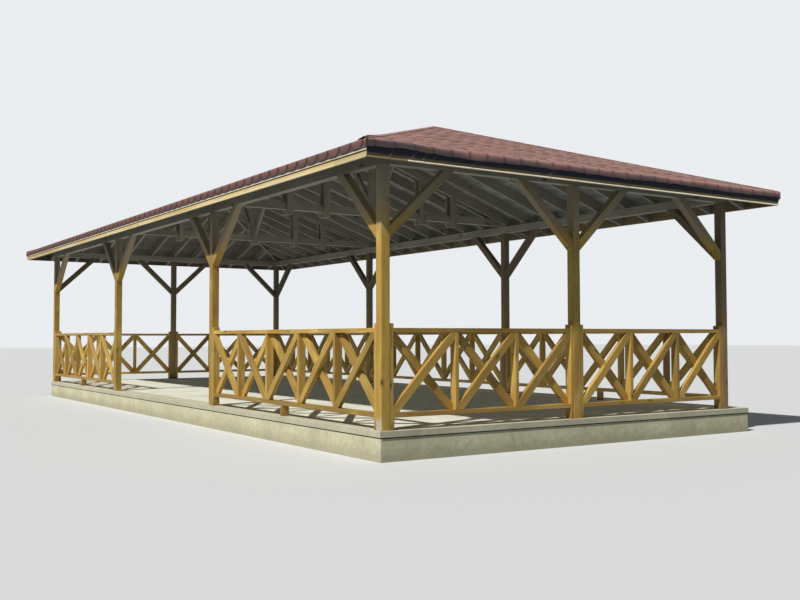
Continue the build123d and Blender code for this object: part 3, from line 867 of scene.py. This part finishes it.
def slope_size(side):
    """Length of the eave, and length up the slope."""
    if side in FREE_EAVES:
        return 2 * EAVE_Y, END_RUN / math.cos(PITCH_X)
    return 2 * EAVE_X, EAVE_Y / math.cos(PITCH_Y)


def trim_to_slope(piece, side):
    """Cuts a piece just short of the hips, and of the ridge on the long slopes."""
    along, out = WALLS[side]
    for turn in (-1, 1):
        corner = along * turn * slope_size(side)[0] / 2 + out * reach_of(side)
        inwards = Vector((-math.copysign(END_RUN, corner.x), -math.copysign(EAVE_Y, corner.y), 0))
        outwards = inwards.cross(UP).normalized()
        if outwards.dot(along * turn) < 0:
            outwards = -outwards
        cut(piece, corner - outwards * HIP_GAP, outwards)
    if side not in FREE_EAVES:
        cut(piece, out * HIP_GAP, -out)


def shingle_height(climb):
    """Height of a shingle's middle over the boarding, this far up from its lower end."""
    return FELT / 2 + 2 * FELT * (1 - climb / TAB_LENGTH)


def waves(u, v):
    """Slight unevenness of the boarding, which the felt follows."""
    return WAVE * (1 + np.sin(1.9 * u + 0.7) * np.sin(2.3 * v + 0.4) + np.sin(5.1 * u + 1.9 * v))


def mark_felt(mesh, tones, reach, across, outlined=0.3, dust_and_sheen=1.0):
    """Tone of each tab, how near to its lower end and its side edges a point is, and the look of both."""
    set_value(mesh, "outlined", np.full(len(mesh.vertices), outlined))
    set_value(mesh, "dust_and_sheen", np.broadcast_to(dust_and_sheen, np.shape(reach)))
    set_value(mesh, "tone", np.repeat(tones, len(mesh.vertices) // len(tones)))
    set_value(mesh, "reach", np.clip(reach, 0, 1))
    set_value(mesh, "across", np.clip(across, -1, 1))


def finish_cut_edges(piece):
    """Gives flat felt its finish, and its cut edges the dark one."""
    for finish in (felt_finish, cut_finish):
        piece.data.materials.append(finish)
    for face in piece.data.polygons:
        face.material_index = int(abs(face.normal.z) < 0.5)


def shingle_tab():
    """One tab of felt, its lower end drawn in like half a hexagon."""
    tab = block("tab", (0, TAB_LENGTH / 2, 0), (TAB_WIDTH, TAB_LENGTH, FELT))
    cut(tab, (0, TAB_TAPER, 0), (0, 1, 0), clear=False)
    for vertex in tab.data.vertices:
        vertex.select = vertex.co.y < TAB_TAPER / 2
    for element in (*tab.data.edges, *tab.data.polygons):
        element.select = all(tab.data.vertices[v].select for v in element.vertices)
    bpy.ops.object.mode_set(mode="EDIT")
    bpy.ops.transform.resize(value=(TIP_SHARE, 1, 1))
    bpy.ops.object.mode_set(mode="OBJECT")
    finish_cut_edges(tab)
    return tab


def shingle_field(side):
    """All the courses of one slope above the eave course."""
    eave, climb = slope_size(side)
    across = math.ceil(eave / TAB_PITCH / 2) * 2 + 2
    pairs = math.ceil(climb / EXPOSURE / 2) + 1
    field = shingle_tab()
    chunk = len(field.data.vertices)
    shift(field, -(across - 1) * TAB_PITCH / 2, EXPOSURE, 0)
    repeat(field, across, (TAB_PITCH, 0, 0))
    second = add_object("second_course", field.data.copy())
    shift(second, TAB_PITCH / 2, EXPOSURE, 0)
    field = joined("field", [field, second])
    repeat(field, pairs, (0, 2 * EXPOSURE, 0))
    spots = points_of(field.data).reshape(-1, chunk, 3)
    x, y, z = spots.transpose(2, 0, 1)
    dice = np.random.default_rng(len(side))
    tabs = len(spots)
    middle = x.mean(1, keepdims=True)
    foot = y.min(1, keepdims=True)
    local = y - foot
    edges = np.sign(x - middle)
    raised = np.repeat(np.where(np.arange(2 * pairs) % 5 == 2, RAISED_COURSE, 0.0), across)[:, None]
    raised = raised * np.clip(1.2 * np.sin(0.9 * middle + 2.0 * foot), 0, 1)
    hip = eave / 2 - np.clip(y / climb, 0, 1) * (EAVE_Y if side in FREE_EAVES else END_RUN)
    raised = (dice.uniform(0, TAB_LIFT, (tabs, 1)) + raised) * np.clip(4 * (hip - np.abs(x)), 0, 1)
    z += shingle_height(local) + raised * (1 - local / TAB_LENGTH) ** 2 + waves(x, y)
    y += COURSE_SWAY * np.sin(1.3 * x + 3.1 * foot)
    x += dice.normal(0, TAB_SHIFT, (tabs, 1)) + dice.normal(0, TAB_WARP, (tabs, chunk))
    x += np.repeat(dice.uniform(-COURSE_SHIFT, COURSE_SHIFT, 2 * pairs), across)[:, None]
    y += dice.normal(0, TAB_SLIP, (tabs, 1))
    set_points(field.data, spots)
    mark_felt(field.data, dice.random(tabs), 1 - local / TAB_TAPER, edges)
    field.data.transform(slope_matrix(side))
    trim_to_slope(field, side)
    return field


def eave_strip(rows, columns):
    """Flat felt across the eave, v = 0, with cuts at these distances past it, ready to be folded."""
    hang, climb = rows[-1], 0.9 * TAB_LENGTH
    strip = block("tab", (0, (climb - hang) / 2, 0), (TAB_WIDTH, climb + hang, FELT))
    for distance in (0, *rows[:-1]):
        cut(strip, (0, -distance, 0), (0, 1, 0), clear=False)
    for number in range(1, columns):
        cut(strip, (TAB_WIDTH * (number / columns - 0.5), 0, 0), (1, 0, 0), clear=False)
    finish_cut_edges(strip)
    return strip


def fold_rows(arc, hang, lower):
    """Distances past the eave at which felt is divided: five in the fold, and then down to the tip."""
    return [arc * step / 5 for step in range(1, 6)] + [arc + (hang - arc) * share for share in lower]


def fold_over(spots, pitch, height, radius, angle):
    """Folds the felt past the eave down by this angle. Its furthest point stays just inside the eave."""
    _, y, z = spots.transpose(2, 0, 1)
    above, beyond = np.maximum(y, 0), np.maximum(-y, 0)
    turned = np.minimum(beyond / radius, angle)
    straight = beyond - turned * radius
    v = above - radius * np.sin(turned) - straight * np.cos(angle) - z * np.sin(turned)
    n = height - radius * (1 - np.cos(turned)) - straight * np.sin(angle) + z * np.cos(turned)
    n -= above * 2 * FELT / TAB_LENGTH
    furthest = (n * np.sin(pitch) - v * np.cos(pitch)).max()
    y[:] = v + (furthest + INSIDE_EAVE) / np.cos(pitch)
    z[:] = n


def eave_course(side):
    """The lowest course, folded over the eave: flat on the batten, or ragged and drooping at the ends."""
    free = side in FREE_EAVES
    pitch = pitch_of(side)
    plumb = math.pi / 2 - pitch
    radius = DROOP_RADIUS if free else FOLD_RADIUS
    hang = DROOP if free else SKIRT - TIP_RISE
    rows = fold_rows(radius * plumb, hang, (0.35, 0.7, 1) if free else (0.28, 1))
    tab = eave_strip(rows, 3 if free else 1)
    count = math.ceil(slope_size(side)[0] / TAB_PITCH) + 1
    shift(tab, -(count - 1) * TAB_PITCH / 2, 0, 0)
    chunk = len(tab.data.vertices)
    repeat(tab, count, (TAB_PITCH, 0, 0))
    spots = points_of(tab.data).reshape(-1, chunk, 3).astype(float)
    x, y, _ = spots.transpose(2, 0, 1)
    dice = np.random.default_rng(31 + len(side))
    middle = x.mean(1, keepdims=True)
    across = (x - middle) / TAB_WIDTH * 2
    reach = np.maximum(-y, 0) / hang
    if free:
        sway = np.sin(1.9 * x + 0.6) + 0.6 * np.sin(4.7 * x + 2.1)
        angle = plumb - 0.06 - 0.04 * sway + across * dice.normal(0, 0.02, (count, 1))
        from_front = EAVE_Y + x * (1 if side == "right" else -1)
        ragged = sum(depth * np.exp(-((from_front - place) / width) ** 2) for place, width, depth in RAGGED)
        length = 0.94 + 0.05 * np.sin(2.9 * x + 1.0) + across * dice.normal(0, 0.02, (count, 1))
        length -= 0.45 * ragged
        length = np.where(reach > 0.99, length - dice.uniform(0, 0.09, reach.shape), length)
        y *= np.where(reach > 0, np.minimum(length, 1), 1)
        # Painted shade: the drooping felt turns slate towards its tips, sooner near the front corner and at
        # the ragged places.
        from_corner = np.clip(from_front / 1.3, 0, 1)
        fade = np.clip((reach + 0.1 - 0.3 * from_corner + ragged) / (0.5 + 0.22 * from_corner), 0, 1)
        shade = fade ** 2 * (3 - 2 * fade)
        marked = np.zeros(reach.shape)
    else:
        angle = np.full((count, 1), plumb)
        marked = np.clip((reach * hang - (hang - TAB_TAPER)) / TAB_TAPER, 0, 1)
        x[:] = middle + (x - middle) * (1 - (1 - TIP_SHARE) * marked)
        y += np.where(reach > 0.99, dice.uniform(0, TIP_JITTER, (count, 1)), 0)
        # Slate: partly the skirt's own darker colour, partly painted shade along the fold.
        shade = 0.15 + 0.4 * reach + 0.45 * np.clip(1 - reach / 0.17, 0, 1)
    fold_over(spots, pitch, shingle_height(0), radius, angle)
    set_points(tab.data, spots)
    dust_and_sheen = 1 if free else np.clip(1 - 3 * reach, 0, 1)
    tones = dice.random(count) * (0.5 if free else 1)
    mark_felt(tab.data, tones, marked, across, 0.6 if free else 1.0, dust_and_sheen)
    set_value(tab.data, "shade", shade)
    tab.data.transform(slope_matrix(side))
    trim_to_slope(tab, side)
    return tab


for side in WALLS:
    parts = [shingle_field(side), eave_course(side)]
    dress(joined(f"shingle_tabs_{side}", parts), None, "roof_shingles", f"shingles_{side}")


def starter_strip(side):
    """The strip under the lowest course, flat on the batten down to an even edge."""
    along, out = WALLS[side]
    half = slope_size(side)[0] / 2
    face = batten_reach(side) + STARTER_GAP
    top, foot = EAVE_SKIN, EAVE_TOP - STARTER_FOOT[side]
    centre = out * (face + FELT / 2) + UP * (top + foot) / 2
    strip = stick(centre - along * half, centre + along * half, STARTER, top - foot, out, ease=THIN_EASE)
    trim_to_slope(strip, side)
    return strip


# The ends' strip is dark underlay felt, its blue-grey partly painted shade under the drooping course.
for name, sides, finish in (("starter_felt_long_sides", ("front", "back"), starter_finish),
                            ("starter_felt_ends", ("left", "right"), underlay_and_shade_finish)):
    dress(joined(name, [starter_strip(side) for side in sides]), finish, "roof_shingles")


def torn_strand(side, distance, length, lean):
    """A narrow curl of felt that hangs from the drooping course, this far from the front end of the eave."""
    out = WALLS[side][1]
    strand = block("strand", (0, 0, -length / 2), (STRAND_WIDTH, FELT * 0.6, length))
    for step in range(1, STRAND_ROWS):
        cut(strand, (0, 0, -length * step / STRAND_ROWS), (0, 0, 1), clear=False)
    spots = points_of(strand.data)
    fall = -spots[:, 2] / length
    spots[:, 0] += lean * fall * length + 0.008 * np.sin(fall * 4)
    spots[:, 1] += 0.006 * np.sin(fall * 3.5)
    set_points(strand.data, spots)
    set_value(strand.data, "tone", np.full(len(spots), 0.2))
    top = out * (EAVE_X - STRAND_INSET) + Vector((0, distance - EAVE_Y, EAVE_TOP - STRAND_TOP))
    strand.data.transform(frame_of(Vector((0, 1, 0)), -out, UP, top))
    return strand


strands = [torn_strand(side, *strand) for side in STRANDS for strand in STRANDS[side]]
dress(joined("torn_felt_strands", strands), strand_finish, "roof_shingles")


# Caps along the hips and the ridge
def roof_height(x, y):
    """Height of the shingle surface, which rolls off at the ends."""
    run = EAVE_X - np.abs(x)
    height = EAVE_TOP + np.minimum((EAVE_Y - np.abs(y)) * math.tan(PITCH_Y), run * math.tan(PITCH_X))
    past = np.clip(DROOP_RADIUS * 0.7 - run, 0, DROOP_RADIUS * 0.95)
    return height - DROOP_RADIUS + np.sqrt(DROOP_RADIUS ** 2 - past ** 2)


def cap_row(start, end, gape_side=None, gape=0.0):
    """Pieces of felt folded over the roof, one over the next from start up to end. The lowest may gape."""
    start, end = Vector(start), Vector(end)
    along = (end - start).normalized()
    crosswise = UP.cross(along)
    bpy.ops.object.select_all(action="DESELECT")
    bpy.ops.mesh.primitive_grid_add(x_subdivisions=5, y_subdivisions=6, size=1,
                                    location=(CAP_LENGTH / 2, 0, 0))
    cap = bpy.context.active_object
    cap.scale = (CAP_LENGTH, 2 * CAP_SIDE, 1)
    bpy.ops.object.transform_apply(location=True, rotation=False, scale=True)
    apply_modifier(cap, "SOLIDIFY", thickness=FELT, offset=0)
    cap.data.materials.append(felt_finish)
    chunk = len(cap.data.vertices)
    count = math.ceil(((end - start).length + CAP_OVERRUN) / CAP_EXPOSURE)
    repeat(cap, count, (CAP_EXPOSURE, 0, 0))
    spots = points_of(cap.data).reshape(-1, chunk, 3).astype(float)
    x, y, z = spots.transpose(2, 0, 1)
    local = (x - x.min(1, keepdims=True)) / CAP_LENGTH
    from_start = x.copy()
    dice = np.random.default_rng(count)
    across = y / CAP_SIDE
    under = (z < 0) & (from_start < GAPE_RUN * (gape > 0.01))
    if gape_side:
        opening = across * np.sign(crosswise.dot(WALLS[gape_side][1]))
        y *= np.where(opening < 0, CAP_END_SHARE * np.clip(from_start / 0.6, 0.1, 1), 1)
    layers = z + FELT * (1.1 - 0.9 * local) - CAP_SINK + dice.uniform(0, CAP_LIFT, (count, 1))
    y += np.where(np.abs(across) > 0.9, dice.normal(0, CAP_FRAY, (count, 1)), 0)
    z[:] = 0
    set_points(cap.data, spots)
    origin = Vector((start.x, start.y, 0)) - along * CAP_OVERRUN
    cap.data.transform(frame_of(along, crosswise, UP, origin))
    spots = points_of(cap.data).reshape(-1, chunk, 3).astype(float)
    x, y, z = spots.transpose(2, 0, 1)
    z[:] = roof_height(x, y) + layers
    if gape_side:
        lifted = np.clip(1 - np.clip(opening, -0.35, 1) ** 2 * np.where(opening < 0, 8, 1), 0, 1)
        z += gape * np.clip(1 - from_start / GAPE_RUN, 0, 1) ** 1.5 * lifted
    set_points(cap.data, spots)
    mark_felt(cap.data, dice.random(count), 1 - local * 1.5, across, 0.15)
    set_value(cap.data, "under", under)
    return cap


caps = []
for (end_side, long_side), gape in HIP_GAPES.items():
    corner = WALLS[end_side][1] * EAVE_X + WALLS[long_side][1] * EAVE_Y
    caps.append(cap_row(corner, WALLS[end_side][1] * RIDGE_END, long_side, gape))
caps.append(cap_row((-RIDGE_END, 0, 0), (RIDGE_END, 0, 0)))
cap_piece = joined("hip_and_ridge_felt_caps", caps)
for side, (_, out) in WALLS.items():
    cut(cap_piece, out * (reach_of(side) - INSIDE_EAVE), out)
cut(cap_piece, UP * (CAD_BOX[1].z - INSIDE_TOP), UP)
dress(cap_piece, None, "roof_shingles", "hip_and_ridge_caps")


# Roof boarding, seen from below
def boarding(side):
    eave, climb = slope_size(side)
    columns = math.ceil(eave / DECK_RUN) + 1
    rows = math.ceil(climb / (DECK_BOARD + DECK_GAP)) + 1
    field = block("boards", (0, DECK_BOARD / 2, -DECK_THICKNESS / 2),
                  (DECK_RUN - DECK_GAP, DECK_BOARD, DECK_THICKNESS))
    ease_edges(field, BOARD_EASE, 1)
    chunk = len(field.data.vertices)
    edge = (reach_of(side) - batten_reach(side)) / math.cos(pitch_of(side))
    shift(field, -columns * DECK_RUN / 2, edge, 0)
    repeat(field, columns, (DECK_RUN, 0, 0))
    repeat(field, rows, (0, DECK_BOARD + DECK_GAP, 0))
    mark_grain(field.data, chunk)
    spots = points_of(field.data).reshape(rows, -1, 3)
    stagger = np.array([(row * DECK_STAGGER % 1) * DECK_RUN for row in range(rows)])
    spots[:, :, 0] += stagger[:, None]
    set_points(field.data, spots)
    field.data.transform(slope_matrix(side))
    trim_to_slope(field, side)
    return joined(f"roof_boards_{side}", [field])


for side in WALLS:
    # The left slope's boarding takes a darker copy: painted shade.
    finish = shaded_soffit_finish if side == "left" else soffit_finish
    dress(boarding(side), finish, "deck_boards", f"roof_deck_{side}")


# Fascia boards, with the batten nailed along their upper part
def mitred_run(side, edge, half, joints, gap, width, depth, ease):
    """Lengths laid end to end between joints, inwards from their outer edge, and mitred at both corners."""
    along, out = WALLS[side]
    line = edge - out * width / 2
    stops = sorted([-half, half, *joints])
    parts = []
    for first, last in zip(stops, stops[1:]):
        cuts = []
        for end, turn in ((first, -1), (last, 1)):
            if abs(end) == half:
                mitre = (along * turn - out).normalized()
                cuts.append((edge + along * turn * half - mitre * gap, mitre))
        start, stop = line + along * (first + gap), line + along * (last - gap)
        parts.append(stick(start, stop, width, depth, out, cuts, ease))
    return parts


def fascia(side):
    """The board, and the batten along its upper part, each with its own finish and joints."""
    along, out = WALLS[side]
    sense = 1 if along.x + along.y > 0 else -1
    slope = math.tan(pitch_of(side))
    deck_under = EAVE_SKIN - DECK_THICKNESS / math.cos(pitch_of(side))
    # The end boards take a darker copy of the fascia pine: painted shade under the drooping felt.
    board_finish = shaded_end_fascia_finish if side in FREE_EAVES else fascia_finish
    parts = []
    for face, thickness, low, joints, finish in (
            (batten_reach(side) - BATTEN, FASCIA, FASCIA_BOTTOM, FASCIA_JOINTS, board_finish),
            (batten_reach(side), BATTEN, EAVE_TOP - BATTEN_FOOT, BATTEN_JOINTS, batten_finish)):
        high = deck_under + (reach_of(side) - face + thickness) * slope
        half = slope_size(side)[0] / 2 - (reach_of(side) - face)
        edge = out * face + UP * (low + high) / 2
        places = [sense * joint for joint in joints[side]]
        for board in mitred_run(side, edge, half, places, FASCIA_GAP, thickness, high - low, BOARD_EASE):
            # Inner faces are marked for bare wood and painted shade.
            behind = points_of(board.data) @ np.array(out) < face - thickness / 2
            set_value(board.data, "hidden", behind)
            set_value(board.data, "marked", np.ones(len(behind)))
            board.data.materials.append(finish)
            parts.append(board)
    return parts


boards = joined("fascia_boards_timber", [part for side in WALLS for part in fascia(side)])
dress(boards, None, "fascia_timber", "fascia_boards")


def shadow_strip(side):
    """A black strip behind the batten of a long side, painted shadow: it shows as a dark line under the
    batten.
    """
    along, out = WALLS[side]
    face = BATTEN_Y - BATTEN
    low, high = EAVE_TOP - BATTEN_FOOT - SHADOW_STRIP_SHOWS, EAVE_TOP - SHADOW_STRIP_LAP
    centre = out * (face + SHADOW_STRIP_OFFSET) + UP * (low + high) / 2
    start, end = centre - along * BATTEN_X, centre + along * BATTEN_X
    strip = stick(start, end, SHADOW_STRIP, high - low, out, ease=SHADOW_STRIP / 5)
    trim_to_slope(strip, side)
    return strip


def drip_beads(side):
    """Chamfered beads along the foot of an end's board, pale as painted light on the foot, below the board's
    painted shade; the one by the front corner is darker.
    """
    along, out = WALLS[side]
    foot = out * (BATTEN_X - BATTEN) + UP * FASCIA_BOTTOM
    line = foot + (out + UP) * DRIP / 2
    half = BATTEN_Y - BATTEN
    front = -half if side == "right" else half
    chamfer = [(foot + out * DRIP + UP * DRIP * 0.25, (out + UP).normalized())]
    stops = sorted([-half, front * (1 - DULL_BEAD / half), half])
    parts = []
    for first, last in zip(stops, stops[1:]):
        bead = stick(line + along * first, line + along * last, DRIP, DRIP, out, chamfer, THIN_EASE)
        bead.data.materials.append(dull_bead_finish if front in (first, last) else batten_finish)
        parts.append(bead)
    return parts


dress(joined("end_drip_beads", drip_beads("left") + drip_beads("right")), None, "fascia_timber")
# Painted shadow under the batten of the long sides.
edges = [shadow_strip("front"), shadow_strip("back")]
dress(joined("painted_shadow_under_batten", edges), shadow_strip_finish, "roof_shingles")


# Timbers of the roof frame keep their nodes, each with the grain along its run. The hips are folded into one
# quarter of the plan, so that one run serves all four.
LONG_COS, LONG_SIN = math.cos(PITCH_Y), math.sin(PITCH_Y)
END_COS, END_SIN = math.cos(PITCH_X), math.sin(PITCH_X)
RUNS = {
    (0, LONG_COS, LONG_SIN): ["rafters_front"],
    (0, -LONG_COS, LONG_SIN): ["rafters_back"],
    (END_COS, 0, END_SIN): ["rafters_left"],
    (-END_COS, 0, END_SIN): ["rafters_right"],
    (1, 0, 0): ["plate_front", "plate_back", "ridge_beam"],
    (0, 1, 0): ["plate_left", "plate_right", "tie_beam_left", "tie_beam_right"],
    (0, 0, 1): ["truss_hangers_left", "truss_hangers_right", "king_posts"],
    (0.7, 0, 0.7): ["ridge_braces"],
    (-END_RUN, -EAVE_Y, RIDGE_RISE): ["hip_rafters"],
}
for number, (run, nodes) in enumerate(RUNS.items(), 1):
    finish = timber(f"frame_pine_{number}", BROWN_PALE, BROWN_DEEP, run, nodes == ["hip_rafters"], wear=0.3)
    refinish(finish, *nodes)


# Concrete: plinth, floor and coping slabs
def coping():
    """Slabs round the edge, mitred at the corners, laid from the right, and at the ends from the front."""
    low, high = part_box("edge_coping")
    middle = (low + high) / 2
    parts = []
    for side, (along, out) in WALLS.items():
        half = abs((high - low).dot(along)) / 2
        edge = middle + out * abs((high - low).dot(out)) / 2
        near = half if along.x - along.y > 0 else -half
        count = math.ceil(2 * half / SLAB_RUN)
        joints = [near * (1 - number * SLAB_RUN / half) for number in range(1, count)]
        parts += mitred_run(side, edge, half, joints, SLAB_JOINT / 2, COPING, high.z - low.z, EDGE_EASE)
    return joined("coping_slabs", parts)


refinish(plinth_finish, "plinth_base")
refinish(floor_finish, "floor_slab")
dress(coping(), coping_finish, "coping_concrete", "edge_coping")


# Floor of the studio, light and camera
def seen_rays(finish):
    """1 for what the camera sees, straight, in gloss or through glass, and 0 for what lights the object."""
    rays = add_node(finish, "LightPath").outputs
    indirect = maths(finish, "MAXIMUM", rays["Is Glossy Ray"], rays["Is Transmission Ray"])
    return maths(finish, "MAXIMUM", rays["Is Camera Ray"], indirect)


def studio():
    bpy.ops.object.select_all(action="DESELECT")
    bpy.ops.mesh.primitive_plane_add(size=STUDIO_SIZE, location=(0, 0, -STUDIO_DROP))
    ground = bpy.context.active_object
    ground.name = "studio_floor"
    finish, shader = new_finish("studio_floor", 0.9, 0.1)
    colour = blend(finish, seen_rays(finish), STUDIO_FLOOR_GLOW, STUDIO_FLOOR)
    link(finish, colour, shader.inputs["Base Color"])
    ground.data.materials.append(finish)

    world = bpy.data.worlds.new("studio")
    bpy.context.scene.world = world
    world.use_nodes = True
    sky = world.node_tree.nodes["Background"]
    sky.inputs["Color"].default_value = SKY_COLOUR
    sky.inputs["Strength"].default_value = SKY_STRENGTH
    wall = add_node(world, "Background", Color=linear(STUDIO_WALL))
    mix = add_node(world, "MixShader", _0=seen_rays(world), _1=sky.outputs[0], _2=wall.outputs[0])
    link(world, mix.outputs[0], world.node_tree.nodes["World Output"].inputs["Surface"])

    key = bpy.data.lights.new("key", "SUN")
    key.energy = SUN_STRENGTH
    key.angle = math.radians(SUN_WIDTH)
    azimuth, height = math.radians(SUN_AZIMUTH), math.radians(SUN_HEIGHT)
    level = Vector((math.sin(azimuth), -math.cos(azimuth), 0))
    towards = level * math.cos(height) + UP * math.sin(height)
    lamp = add_object("key", key)
    lamp.rotation_euler = towards.to_track_quat("Z", "Y").to_euler()

    low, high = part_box("floor_slab")
    bounce = bpy.data.lights.new("bounce", "AREA")
    bounce.shape = "RECTANGLE"
    bounce.size = high.x - low.x
    bounce.size_y = high.y - low.y
    bounce.energy = BOUNCE_POWER
    bounce.color = BOUNCE_COLOUR
    glow = add_object("bounce", bounce)
    glow.location = (low + high) / 2
    glow.location.z = high.z + BOUNCE_RISE
    glow.rotation_euler = (math.pi, 0, 0)
    glow.visible_camera = False
    glow.visible_glossy = False


def camera():
    yaw, pitch, roll = math.radians(EYE_YAW), math.radians(EYE_PITCH), math.radians(EYE_ROLL)
    level = Vector((-math.cos(yaw), math.sin(yaw), 0))
    right = Vector((math.sin(yaw), math.cos(yaw), 0))
    ahead = level * math.cos(pitch) + UP * math.sin(pitch)
    top = UP * math.cos(pitch) - level * math.sin(pitch)
    image_right = right * math.cos(roll) + top * math.sin(roll)
    image_up = top * math.cos(roll) - right * math.sin(roll)
    lens = bpy.data.cameras.new("view")
    lens.sensor_width = 36
    lens.lens = LENS
    lens.clip_end = 500
    eye = add_object("view", lens)
    eye.matrix_world = frame_of(image_right, image_up, -ahead, Vector(EYE))
    bpy.context.scene.camera = eye


studio()
camera()
bpy.context.scene.view_settings.view_transform = "Standard"
